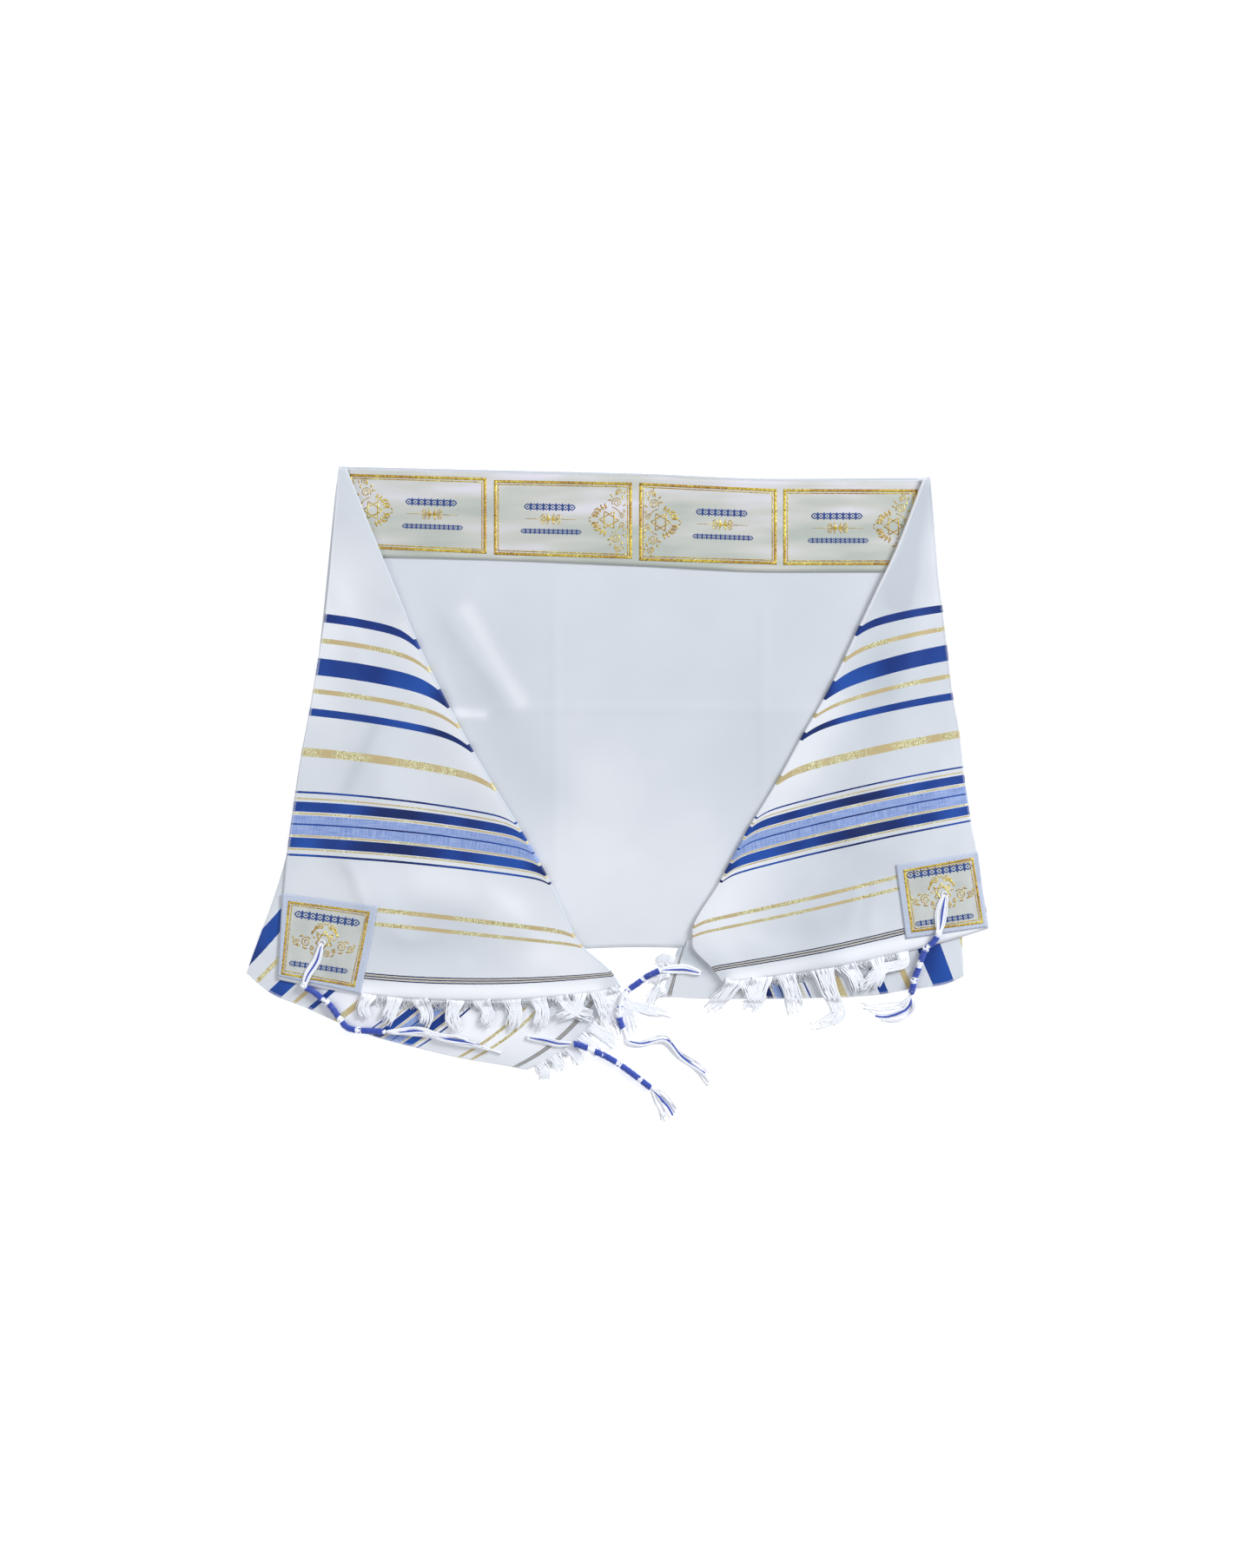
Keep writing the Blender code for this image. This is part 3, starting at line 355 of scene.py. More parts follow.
# Fringe: the stretch of each layer's end that it grows from
FRINGES = (
    ("left_under_fringe", "left", "under", 0.10, 0.93, 1),
    ("right_under_fringe", "right", "under", 0.30, 0.93, -1),
    ("left_fringe", "left", "flap", 0.255, 0.965, -1),
    ("right_fringe", "right", "flap", 0.330, 0.965, 1),
)
# Tufts of yarn in each fringe: width at the edge and at the tip, then the way that the tuft lies
TUFTS = {
    "left_under_fringe": (
        (12, 10, (-45, -381), (-33, -387), (-25, -395)),
        (12, 10, (-62, -389), (-51, -397), (-45, -405)),
        (12, 9, (-80, -397), (-71, -406), (-67, -415)),
        (12, 9, (-99, -405), (-92, -415), (-90, -425)),
        (10, 9, (-115, -414), (-108, -424), (-110, -434)),
    ),
    "right_under_fringe": (
        (10, 8, (42, -288), (30, -292), (22, -300)),
        (10, 9, (36, -306), (24, -312), (16, -324)),
        (10, 8, (30, -324), (18, -334), (12, -347)),
    ),
    "left_fringe": (
        (14, 9, (-313, -333), (-320, -349), (-314, -363)),
        (16, 12, (-283, -336), (-288, -353), (-297, -370)),
        (14, 12, (-253, -339), (-246, -357), (-250, -374)),
        (16, 12, (-212, -340), (-217, -358), (-210, -378)),
        (14, 10, (-181, -340), (-175, -355), (-181, -371)),
        (16, 12, (-146, -339), (-143, -357), (-147, -375)),
        (16, 13, (-116, -337), (-112, -354), (-118, -375)),
        (12, 12, (-91, -335), (-81, -348), (-52, -360)),
        (12, 10, (-68, -332), (-72, -348), (-96, -361)),
        (18, 17, (-45, -329), (-37, -353), (-23, -384)),
        (18, 17, (-29, -327), (-17, -353), (-7, -388)),
        (10, 7, (-22, -326), (0, -349), (44, -358)),
    ),
    "right_fringe": (
        (16, 12, (104, -320), (98, -336), (78, -354)),
        (16, 14, (126, -318), (134, -334), (146, -351)),
        (16, 13, (144, -316), (138, -334), (122, -351)),
        (16, 14, (172, -312), (179, -334), (185, -360)),
        (22, 7, (213, -305), (221, -328), (233, -355), (217, -366), (198, -372)),
        (16, 12, (242, -298), (252, -314), (258, -332)),
        (14, 10, (276, -290), (280, -306), (271, -326)),
        (10, 9, (305, -280), (308, -295), (283, -304), (258, -328)),
    ),
}
# Shares and sizes of the yarn, in millimetres: reach under the edge, length of a lash, then radii
TUFT_WAIST = 0.18
TUFT_FULLNESS = 1.35
EDGE_REACH = 0.8
LASH_LENGTH = 10.0
STRAND_RADIUS = 1.05
LASH_RADIUS = 0.6
THREAD_RADIUS = 0.17
STITCH_DEPTH = 2.6
CORE_RADIUS = 3.1
WINDING_WIRE = 1.0
WINDING_PITCH = 1.9
LOOP_RADIUS = 0.95
BLUE_LOOP_RADIUS = 1.15
KNOT_CORD = 1.15
END_RADIUS = 1.45
BLUE_LIFT = 1.4
# How far strands may pile up over the cloth
PILE_LIMIT = 3.2

# Rows and columns of the sheets, and cells of the relief
BACK_GRID = (110, 150)
COLLAR_GRID = (24, 140)
PATCH_GRID = 44
FLAP_ROWS = 150
FLAP_COLUMNS = 76
UNDER_COLUMNS = 60
ROLL_COLUMNS = 9
RELIEF_STEP = 2.0
RELIEF_LOW = (-480.0, -510.0)
RELIEF_CELLS = (460, 410)

# A height above everything, from which surfaces are sounded
ABOVE_ALL = 80.0

# Where the camera stands: over the middle of the photograph's frame
PHOTO_CENTRE = (-0.0126, -0.0889)
PHOTO_HEIGHT = 1.824
CAMERA_RISE = 2.4
SURFACE_LEVEL = 0.004


# Numbers and curves

def smooth_step(value):
    """Rises softly from 0 to 1 as value does."""
    clipped = np.clip(value, 0.0, 1.0)
    return clipped * clipped * (3 - 2 * clipped)


def along_table(knots, values, places):
    """Values at places, on a smooth curve through a table that doesn't swing past its rows."""
    knots = np.asarray(knots, float)
    values = np.asarray(values, float)
    places = np.clip(np.asarray(places, float), knots[0], knots[-1])
    steps = np.diff(knots)
    slopes = np.diff(values) / steps
    tangents = np.zeros(len(knots))
    tangents[0] = slopes[0]
    tangents[-1] = slopes[-1]
    for row in range(1, len(knots) - 1):
        before, after = slopes[row - 1], slopes[row]
        if before * after > 0:
            weight_before = 2 * steps[row] + steps[row - 1]
            weight_after = steps[row] + 2 * steps[row - 1]
            total = weight_before + weight_after
            tangents[row] = total / (weight_before / before + weight_after / after)
    index = np.clip(np.searchsorted(knots, places, side="right") - 1, 0, len(steps) - 1)
    share = (places - knots[index]) / steps[index]
    left, right = values[index], values[index + 1]
    left_tangent = tangents[index] * steps[index]
    right_tangent = tangents[index + 1] * steps[index]
    square, cube = share ** 2, share ** 3
    return ((2 * cube - 3 * square + 1) * left + (cube - 2 * square + share) * left_tangent
            + (3 * square - 2 * cube) * right + (cube - square) * right_tangent)


def run_lengths(points):
    """Distance along a chain of points, at each of them."""
    steps = np.linalg.norm(np.diff(points, axis=0), axis=1)
    return np.concatenate([[0.0], np.cumsum(steps)])


def at_lengths(marks, lengths, values):
    """Rows of values at distances along a chain, whose points stand at the given lengths."""
    return np.stack([np.interp(marks, lengths, column) for column in values.T], axis=-1)


def left_of(runs):
    """Directions in plan, a quarter turn to the left of the runs."""
    return np.stack([-runs[..., 1], runs[..., 0]], axis=-1)


def smooth_chain(points, spacing):
    """Evenly spaced places along a smooth line through points."""
    points = np.asarray(points, float)
    lengths = run_lengths(points)
    count = max(2, int(round(lengths[-1] / spacing)) + 1)
    places = np.linspace(0.0, lengths[-1], count)
    return np.stack([along_table(lengths, points[:, axis], places)
                     for axis in range(points.shape[1])], axis=1)


def distance_to_segment(x, y, start, end):
    """Distance in plan from each place to a straight stretch."""
    run_x, run_y = end[0] - start[0], end[1] - start[1]
    share = ((x - start[0]) * run_x + (y - start[1]) * run_y) / (run_x ** 2 + run_y ** 2)
    share = np.clip(share, 0.0, 1.0)
    return np.hypot(x - start[0] - share * run_x, y - start[1] - share * run_y)


def distance_to_chain(x, y, chain):
    """Distance in plan from each place to a chain of points."""
    nearest = np.full(np.shape(x), 1e9)
    for start, end in zip(chain[:-1], chain[1:]):
        nearest = np.minimum(nearest, distance_to_segment(x, y, start, end))
    return nearest


def table_column(rows, columns, name):
    """One named column of a table."""
    place = columns.index(name)
    return [row[place] for row in rows]


# Plan and levels of the cloth

def section(side, name, shares):
    """A named section size of one end, at shares of the flap's length."""
    rows = SECTIONS[side]
    knots = np.array(table_column(rows, SECTION_COLUMNS, "share"))
    values = np.array(table_column(rows, SECTION_COLUMNS, name), float)
    shares = np.asarray(shares, float)
    if not name.startswith("edge"):
        return along_table(knots, values, shares)
    corner = int(np.argmin(abs(knots - CORNER_SHARE)))
    upper = along_table(knots[:corner + 1], values[:corner + 1], shares)
    lower = along_table(knots[corner:], values[corner:], shares)
    return np.where(shares <= CORNER_SHARE, upper, lower)


def section_curve(side, name, shares):
    """Plan points of one lengthwise line of an end."""
    return np.stack([section(side, name + "_x", shares), section(side, name + "_y", shares)], axis=-1)


def outward_normals(side, name, shares, sign):
    """Unit normals in plan of a lengthwise line, turned to the side that sign gives."""
    step = 0.012
    ahead = section_curve(side, name, np.clip(shares + step, 0, 1))
    behind = section_curve(side, name, np.clip(shares - step, 0, 1))
    tangent = ahead - behind
    tangent /= np.linalg.norm(tangent, axis=-1, keepdims=True)
    return sign * left_of(tangent)


def back_edge(name, across):
    """Height on the page of one of the back panel's or the collar's edges."""
    return along_table(table_column(BACK_ROWS, BACK_COLUMNS, "across"),
                       table_column(BACK_ROWS, BACK_COLUMNS, name), across)


INNER_FOLDS = {side: section_curve(side, "fold", np.linspace(0, 1, 41)) for side in SIDES}
OUTER_FOLDS = {side: section_curve(side, "edge", np.linspace(0, CORNER_SHARE, 15)) for side in SIDES}


def swell(x, y, rows):
    """Height that broad swells add."""
    total = np.zeros(np.shape(x))
    for start_x, start_y, end_x, end_y, width, height in rows:
        distance = distance_to_segment(x, y, (start_x, start_y), (end_x, end_y))
        total = total + height * np.exp(-(distance / width) ** 2)
    return total


def crease(x, y, rows):
    """Height that soft creases add: each rises and dies away along its run."""
    total = np.zeros(np.shape(x))
    for start_x, start_y, end_x, end_y, width, height in rows:
        run_x, run_y = end_x - start_x, end_y - start_y
        along = ((x - start_x) * run_x + (y - start_y) * run_y) / (run_x ** 2 + run_y ** 2)
        aside = ((x - start_x) * -run_y + (y - start_y) * run_x) / math.hypot(run_x, run_y)
        bend = 0.35 * width * np.sin(along * 4.4 + width)
        fade = smooth_step((along + 0.15) / 0.35) * smooth_step((1.15 - along) / 0.35)
        total = total + height * fade * np.exp(-((aside - bend) / width) ** 2)
    return total


def ripple(x, y):
    """Slight unevenness of cloth that has been laid out by hand."""
    return (0.16 * np.sin(x / 31 + 1.3 * np.sin(y / 57)) + 0.13 * np.sin(y / 26 + 1.1 * np.sin(x / 43))
            + 0.06 * np.sin((x + y) / 13.0 + np.sin(y / 21)))


def outer_fold_x(side, y):
    """Where the outer fold runs, at a height on the page."""
    chain = OUTER_FOLDS[side][::-1]
    return np.interp(y, chain[:, 1], chain[:, 0])


def under_level(x, y):
    """Height of the middle of the lower folded layer."""
    past_back = back_edge("bottom_y", x) - y
    past_collar = back_edge("collar_bottom_y", x) - y
    over_back = 1 - smooth_step(past_back / STEP_REACH)
    over_collar = 1 - smooth_step((past_collar - COLLAR_CLEAR) / STEP_REACH)
    level = FLOOR_LEVEL + over_back * (BACK_LEVEL - FLOOR_LEVEL)
    level = level + over_collar * (SOLID_COLLAR + SEAM + COLLAR_REST) + swell(x, y, UNDER_SWELLS)
    return level + crease(x, y, UNDER_CREASES) + 0.6 * (ripple(x, y) + 0.35) * over_back


def flap_level(side, x, y):
    """Height of the middle of the upper folded layer."""
    near_fold = np.exp(-(distance_to_chain(x, y, INNER_FOLDS[side]) / ROLL_REACH) ** 2)
    lift = LAYER + swell(x, y, FLAP_SWELLS) + crease(x, y, FLAP_CREASES) + ripple(y, x)
    outside = OUTWARD[side] * (x - outer_fold_x(side, y))
    droop = CORNER_DROOP * smooth_step(outside / DROOP_REACH)
    return under_level(x, y) + lift * (1 - near_fold) + 2 * INNER_ROLL * near_fold - droop


def back_level(x, y):
    """Height of the middle of the back panel."""
    inside = smooth_step((y - back_edge("bottom_y", x)) / 30)
    free = inside * smooth_step((back_edge("collar_bottom_y", x) - 8 - y) / 40)
    return FLOOR_LEVEL + free * (crease(x, y, BACK_CREASES) + 0.5 * (ripple(x, y) + 0.35))


def curl_of(side, shares):
    """How far the inner fold has opened into a curl: none on the left."""
    if side == "left":
        return np.zeros(np.shape(shares))
    return smooth_step((np.asarray(shares) - CURL_START) / CURL_RUN)


def inner_roll(side, shares):
    """Radius of the inner fold's roll."""
    return (2 * INNER_ROLL - LAYER * curl_of(side, shares)) / 2


def roll_centre(side, shares):
    """Plan points of the middle of the inner fold's roll."""
    inward = outward_normals(side, "fold", shares, -OUTWARD[side])
    return section_curve(side, "fold", shares) - inward * inner_roll(side, shares)[:, None]


def flap_plan(side, shares, across):
    """Plan points of the upper layer, from the selvage at 0 to the inner fold's roll at 1."""
    selvage = section_curve(side, "selvage", shares)
    fold = roll_centre(side, shares)
    bow = section(side, "bow", shares)
    across = np.asarray(across)[..., None]
    plan = selvage * (1 - across) + fold * across
    plan[..., 1] += bow * 4 * across[..., 0] * (1 - across[..., 0])
    return plan


UNDER_SAG = {"left": 0.17, "right": 0.02}
CURL_OPENING = 0.06


def under_plan(side, shares, across):
    """Plan points of the lower layer, from under the inner fold at 0 to its outer edge at 1."""
    inward = outward_normals(side, "fold", shares, -OUTWARD[side])
    fold = section_curve(side, "fold", shares)
    open_start = section_curve(side, "under", shares)
    hidden_start = fold - inward * (INNER_ROLL + FOLD_RETURN + SEAM)
    opened = smooth_step((shares - CURL_SHARE) / CURL_OPENING)[:, None] if side == "right" else 0.0
    start = hidden_start * (1 - opened) + open_start * opened
    edge = section_curve(side, "edge", shares)
    chord = edge - start
    sideways = -OUTWARD[side] * left_of(chord)
    fade = smooth_step(shares / CORNER_SHARE)[:, None]
    control = (start + edge) / 2 + sideways * UNDER_SAG[side] * fade
    across = np.asarray(across)[:, None]
    return start * (1 - across) ** 2 + 2 * control * across * (1 - across) + edge * across ** 2


# Materials

def linear(code):
    """An sRGB hex colour as the linear colour that shaders take."""
    digits = code.lstrip("#")
    values = [int(digits[start:start + 2], 16) / 255 for start in (0, 2, 4)]
    return tuple(value / 12.92 if value <= 0.04045 else ((value + 0.055) / 1.055) ** 2.4 for value in values)


def shade(colour):
    """A linear colour with full opacity, as a colour socket takes it."""
    return (*colour[:3], 1.0)


def add_node(material, kind, settings=None, inputs=None):
    """Adds a node with its settings, and its sockets set or linked."""
    node = material.node_tree.nodes.new(kind)
    for name, value in (settings or {}).items():
        setattr(node, name, value)
    for name, value in (inputs or {}).items():
        if isinstance(value, bpy.types.NodeSocket):
            material.node_tree.links.new(value, node.inputs[name])
        else:
            node.inputs[name].default_value = value
    return node


def new_material(name, shader_inputs):
    """A material with a Principled BSDF, its sockets set or linked later."""
    material = bpy.data.materials.new(name)
    material.use_nodes = True
    material.node_tree.nodes.clear()
    shader = add_node(material, "ShaderNodeBsdfPrincipled", inputs=shader_inputs)
    add_node(material, "ShaderNodeOutputMaterial", inputs={"Surface": shader.outputs["BSDF"]})
    return material, shader


def link_shader(material, shader, name, output):
    """Links an output to one of the shader's sockets."""
    material.node_tree.links.new(output, shader.inputs[name])


def mix_colours(material, factor, first, second):
    """The first colour where factor is 0 and the second where it is 1."""
    node = add_node(material, "ShaderNodeMix", {"data_type": "RGBA"}, {0: factor, 6: first, 7: second})
    return node.outputs[2]


def mix_values(material, factor, first, second):
    """The first value where factor is 0 and the second where it is 1."""
    node = add_node(material, "ShaderNodeMix", {"data_type": "FLOAT"}, {0: factor, 2: first, 3: second})
    return node.outputs[0]


def calculate(material, operation, first, second):
    """A sum, product or other step with two values."""
    return add_node(material, "ShaderNodeMath", {"operation": operation}, {0: first, 1: second}).outputs[0]


def stripe_mask(material, share, bands):
    """1 inside the bands of shares and 0 between them."""
    total = 0.0
    for start, end in bands:
        inside = add_node(material, "ShaderNodeMath", {"operation": "COMPARE"},
                          {0: share, 1: (start + end) / 2, 2: (end - start) / 2})
        total = calculate(material, "ADD", inside.outputs[0], total)
    return total


def colour_ramp(material, factor, stops):
    """A colour from a run of places and colours."""
    node = add_node(material, "ShaderNodeValToRGB", inputs={"Fac": factor})
    ramp = node.color_ramp
    ramp.elements[0].position, ramp.elements[0].color = stops[0][0], shade(stops[0][1])
    ramp.elements[1].position, ramp.elements[1].color = stops[-1][0], shade(stops[-1][1])
    for place, colour in stops[1:-1]:
        ramp.elements.new(place).color = shade(colour)
    return node.outputs["Color"]


def cloth_vector(material):
    """Metres across and along the cloth, from its map of distance and share of length."""
    placed = add_node(material, "ShaderNodeUVMap", {"uv_map": "cloth_map"}).outputs["UV"]
    return add_node(material, "ShaderNodeMapping", {"vector_type": "POINT"},
                    {"Vector": placed, "Scale": (1.0, FLAP_LENGTH, 1.0)}).outputs["Vector"], placed


def weave_height(material, vector, pitch):
    """Warp and weft threads as a height, pitch metres apart."""
    warp = add_node(material, "ShaderNodeTexWave", {"wave_type": "BANDS", "bands_direction": "X"},
                    {"Vector": vector, "Scale": WAVES_A_METRE / pitch, "Distortion": 0.6, "Detail": 0.0})
    weft = add_node(material, "ShaderNodeTexWave", {"wave_type": "BANDS", "bands_direction": "Y"},
                    {"Vector": vector, "Scale": WAVES_A_METRE / pitch, "Distortion": 0.6, "Detail": 0.0})
    return calculate(material, "ADD", warp.outputs["Fac"], weft.outputs["Fac"])


def glitter(material, vector, grain, tones):
    """A colour that changes from flake to flake, grain metres across, and a value that does too."""
    flakes = add_node(material, "ShaderNodeTexVoronoi", {"feature": "F1"},
                      {"Vector": vector, "Scale": 1 / grain})
    flake = add_node(material, "ShaderNodeSeparateColor", inputs={"Color": flakes.outputs["Color"]})
    return colour_ramp(material, flake.outputs[0], tones), flake.outputs[1]


def drift(material, vector, scale, low, high):
    """A value that wanders between 0 and 1 over the cloth, in waves 1 / scale metres long."""
    noise = add_node(material, "ShaderNodeTexNoise",
                     inputs={"Vector": add_node(material, "ShaderNodeMapping", {},
                                                {"Vector": vector, "Scale": scale}).outputs[0],
                             "Scale": 1.0, "Detail": 2.0})
    return add_node(material, "ShaderNodeMapRange", {}, {"Value": noise.outputs["Fac"], "From Min": low,
                                                         "From Max": high}).outputs["Result"]


def white_with_painted_light(material, vector, colours):
    """The white of the cloth, with painted light and shade from the sheet's own map, and slight clouds."""
    placed = add_node(material, "ShaderNodeUVMap", {"uv_map": "tone_map"}).outputs["UV"]
    tone = add_node(material, "ShaderNodeSeparateXYZ", inputs={"Vector": placed}).outputs["X"]
    clouds = calculate(material, "MULTIPLY", drift(material, vector, (9.0, 9.0, 1.0), 0.3, 0.7), 0.12)
    return colour_ramp(material, calculate(material, "ADD", tone, clouds), (
        (0.0, colours.cloth_painted_shade), (0.5, colours.cloth), (1.0, colours.cloth_painted_highlight)))


def woven_normal(material, shader, vector, sizes):
    """Threads and a faint nap, as a bump."""
    threads = weave_height(material, vector, sizes.weave_pitch)
    nap = add_node(material, "ShaderNodeTexNoise", inputs={"Vector": vector, "Scale": 420.0, "Detail": 2.0})
    height = calculate(material, "ADD", threads, nap.outputs["Fac"])
    bump = add_node(material, "ShaderNodeBump", {}, {"Strength": 0.2, "Distance": 0.0003, "Height": height})
    link_shader(material, shader, "Normal", bump.outputs["Normal"])


def plain_cloth(colours, sizes):
    """Brushed acrylic and wool cloth, plain woven: matt white with painted light and shade, and a faint nap.
    """
    material, shader = new_material("plain_shawl_cloth", {"Roughness": 0.82, "Sheen Weight": 0.15,
                                                          "Sheen Roughness": 0.5, "Specular IOR Level": 0.3})
    vector, _ = cloth_vector(material)
    link_shader(material, shader, "Base Color", white_with_painted_light(material, vector, colours))
    woven_normal(material, shader, vector, sizes)


def striped_cloth(colours, sizes):
    """The same cloth where weft stripes of satin and of lurex thread are woven in.

    To the eye it is a matt white ground with painted light and shade, on which blue stripes shine softly with
    a painted sheen that drifts from deep to bright, and gold ones glitter in some stretches and lie smooth
    and beige in others.
    """
    material, shader = new_material("striped_shawl_cloth", {"Sheen Roughness": 0.5,
                                                            "Specular IOR Level": 0.3})
    vector, placed = cloth_vector(material)
    share = add_node(material, "ShaderNodeSeparateXYZ", inputs={"Vector": placed}).outputs["Y"]
    wobble = add_node(material, "ShaderNodeTexNoise",
                      inputs={"Vector": vector, "Scale": 300.0, "Detail": 1.0}).outputs["Fac"]
    shift = calculate(material, "MULTIPLY", calculate(material, "SUBTRACT", wobble, 0.5), STRIPE_WAVER)
    woven_share = calculate(material, "ADD", share, shift)
    blue = stripe_mask(material, woven_share, BLUE_STRIPES)
    gold = stripe_mask(material, woven_share, GOLD_STRIPES)
    chambray = stripe_mask(material, woven_share, CHAMBRAY_BAND)
    navy = stripe_mask(material, woven_share, NAVY_LINES)
    silver = stripe_mask(material, woven_share, SILVER_LINES)
    # Painted sheen: the satin's blue drifts from deep to bright along the weft, and single threads differ a
    # little
    painted_sheen = drift(material, vector, (9.0, 3.0, 1.0), 0.36, 0.64)
    threads = drift(material, vector, (220.0, 2400.0, 1.0), 0.2, 0.8)
    satin = colour_ramp(material, mix_values(material, 0.16, painted_sheen, threads), (
        (0.12, colours.blue_painted_shade), (0.45, colours.blue), (0.85, colours.blue_painted_sheen)))
    # The light band has blue warp threads that thicken here and there
    slubs = mix_values(material, 0.5, drift(material, vector, (1100.0, 60.0, 1.0), 0.3, 0.7),
                       drift(material, vector, (50.0, 1500.0, 1.0), 0.3, 0.7))
    band = colour_ramp(material, slubs, ((0.2, colours.chambray_deep), (0.75, colours.chambray)))
    flakes, flicker = glitter(material, vector, sizes.lurex_grain, (
        (0.0, colours.lurex_shade), (0.3, colours.lurex), (0.55, colours.lurex_green),
        (0.95, colours.lurex_glint)))
    lurex = mix_colours(material, drift(material, vector, (26.0, 9.0, 1.0), 0.42, 0.56), shade(colours.lurex),
                        flakes)
    colour = mix_colours(material, chambray, white_with_painted_light(material, vector, colours), band)
    colour = mix_colours(material, blue, colour, satin)
    colour = mix_colours(material, gold, colour, lurex)
    colour = mix_colours(material, silver, colour, mix_colours(material, flicker, shade(colours.silver),
                                                               shade(colours.lurex)))
    colour = mix_colours(material, navy, colour, shade(colours.line_navy))
    link_shader(material, shader, "Base Color", colour)
    shine = mix_values(material, blue, 0.82, 0.46)
    shine = mix_values(material, gold, shine, mix_values(material, flicker, 0.3, 0.6))
    link_shader(material, shader, "Roughness", shine)
    link_shader(material, shader, "Sheen Weight", mix_values(material, blue, 0.15, 0.03))
    link_shader(material, shader, "Metallic", calculate(material, "MULTIPLY", gold, 0.25))
    woven_normal(material, shader, vector, sizes)


def collar_satin(colours, sizes):
    """Polyester satin, warp-faced: smooth, with a pearly sheen painted into its colour, which drifts from
    grey-green to cream.
    """
    material, shader = new_material("pearly_polyester_satin", {"Roughness": 0.42, "Sheen Weight": 0.3,
                                                               "Sheen Roughness": 0.35,
                                                               "Anisotropic": 0.5})
    vector, placed = cloth_vector(material)
    height = add_node(material, "ShaderNodeSeparateXYZ", inputs={"Vector": placed}).outputs["Y"]
    # Painted pearly sheen: the colour drifts from grey-green to lilac-white, paler and warmer towards the
    # upper edge
    clouds = drift(material, vector, (7.0, 34.0, 1.0), 0.25, 0.75)
    fall = calculate(material, "MULTIPLY", calculate(material, "SUBTRACT", height, 0.085), -2.4)
    colour = colour_ramp(material, calculate(material, "ADD", clouds, fall), (
        (0.15, colours.satin_cool), (0.5, colours.satin), (0.85, colours.satin_warm)))
    link_shader(material, shader, "Base Color", colour)
    threads = add_node(material, "ShaderNodeTexWave", {"wave_type": "BANDS", "bands_direction": "Y"},
                       {"Vector": vector, "Scale": WAVES_A_METRE / sizes.satin_pitch, "Distortion": 1.5})
    bump = add_node(material, "ShaderNodeBump", {}, {"Strength": 0.15, "Distance": 0.0002,
                                                     "Height": threads.outputs["Fac"]})
    link_shader(material, shader, "Normal", bump.outputs["Normal"])


def patch_satin(colours, sizes):
    """Woven label satin: a pale grey-green middle, and a bluer margin whose threads fray."""
    material, shader = new_material("woven_label_satin", {"Roughness": 0.45, "Sheen Weight": 0.25,
                                                          "Sheen Roughness": 0.4})
    vector, placed = cloth_vector(material)
    margin = add_node(material, "ShaderNodeUVMap", {"uv_map": "tone_map"}).outputs["UV"]
    parts = add_node(material, "ShaderNodeSeparateXYZ", inputs={"Vector": margin})
    clouds = add_node(material, "ShaderNodeTexNoise", inputs={"Vector": vector, "Scale": 38.0, "Detail": 3.0})
    middle = colour_ramp(material, clouds.outputs["Fac"], ((0.3, colours.patch_deep), (0.7, colours.patch)))
    frayed = add_node(material, "ShaderNodeTexNoise",
                      inputs={"Vector": vector, "Scale": 700.0, "Detail": 2.0})
    edge = colour_ramp(material, frayed.outputs["Fac"], ((0.35, colours.margin_deep), (0.65, colours.margin)))
    outside = calculate(material, "GREATER_THAN", parts.outputs["X"], 0.5)
    link_shader(material, shader, "Base Color", mix_colours(material, outside, middle, edge))
    threads = weave_height(material, vector, sizes.satin_pitch)
    bump = add_node(material, "ShaderNodeBump", {}, {"Strength": 0.25, "Distance": 0.0003, "Height": threads})
    link_shader(material, shader, "Normal", bump.outputs["Normal"])


def gold_foil(colours, sizes):
    """Gold foil with glitter, pressed on the satin: flakes that catch the light one by one.

    Stretches of it look coppery, and others bright yellow.
    """
    material, shader = new_material("gold_glitter_foil", {"Metallic": 0.45})
    place = add_node(material, "ShaderNodeTexCoord").outputs["Object"]
    bright, flicker = glitter(material, place, sizes.glitter_grain, (
        (0.0, colours.gold_shadow), (0.3, colours.gold), (0.65, colours.gold), (0.95, colours.gold_glint)))
    copper, _ = glitter(material, place, sizes.glitter_grain, (
        (0.0, colours.gold_shadow), (0.5, colours.gold_copper), (0.95, colours.gold)))
    tone = drift(material, place, (19.0, 19.0, 1.0), 0.42, 0.58)
    link_shader(material, shader, "Base Color", mix_colours(material, tone, copper, bright))
    link_shader(material, shader, "Roughness", mix_values(material, flicker, 0.2, 0.55))
    bump = add_node(material, "ShaderNodeBump", {}, {"Strength": 0.4, "Distance": 0.0003, "Height": flicker})
    link_shader(material, shader, "Normal", bump.outputs["Normal"])


def navy_print(colours):
    """Navy ink printed on satin: matt, a little thinner here and there."""
    material, shader = new_material("navy_print", {"Roughness": 0.6, "Specular IOR Level": 0.35})
    place = add_node(material, "ShaderNodeTexCoord").outputs["Object"]
    wear = add_node(material, "ShaderNodeTexNoise", inputs={"Vector": place, "Scale": 520.0, "Detail": 2.0})
    colour = colour_ramp(material, wear.outputs["Fac"], ((0.3, colours.navy), (0.75, colours.navy_thin)))
    link_shader(material, shader, "Base Color", colour)


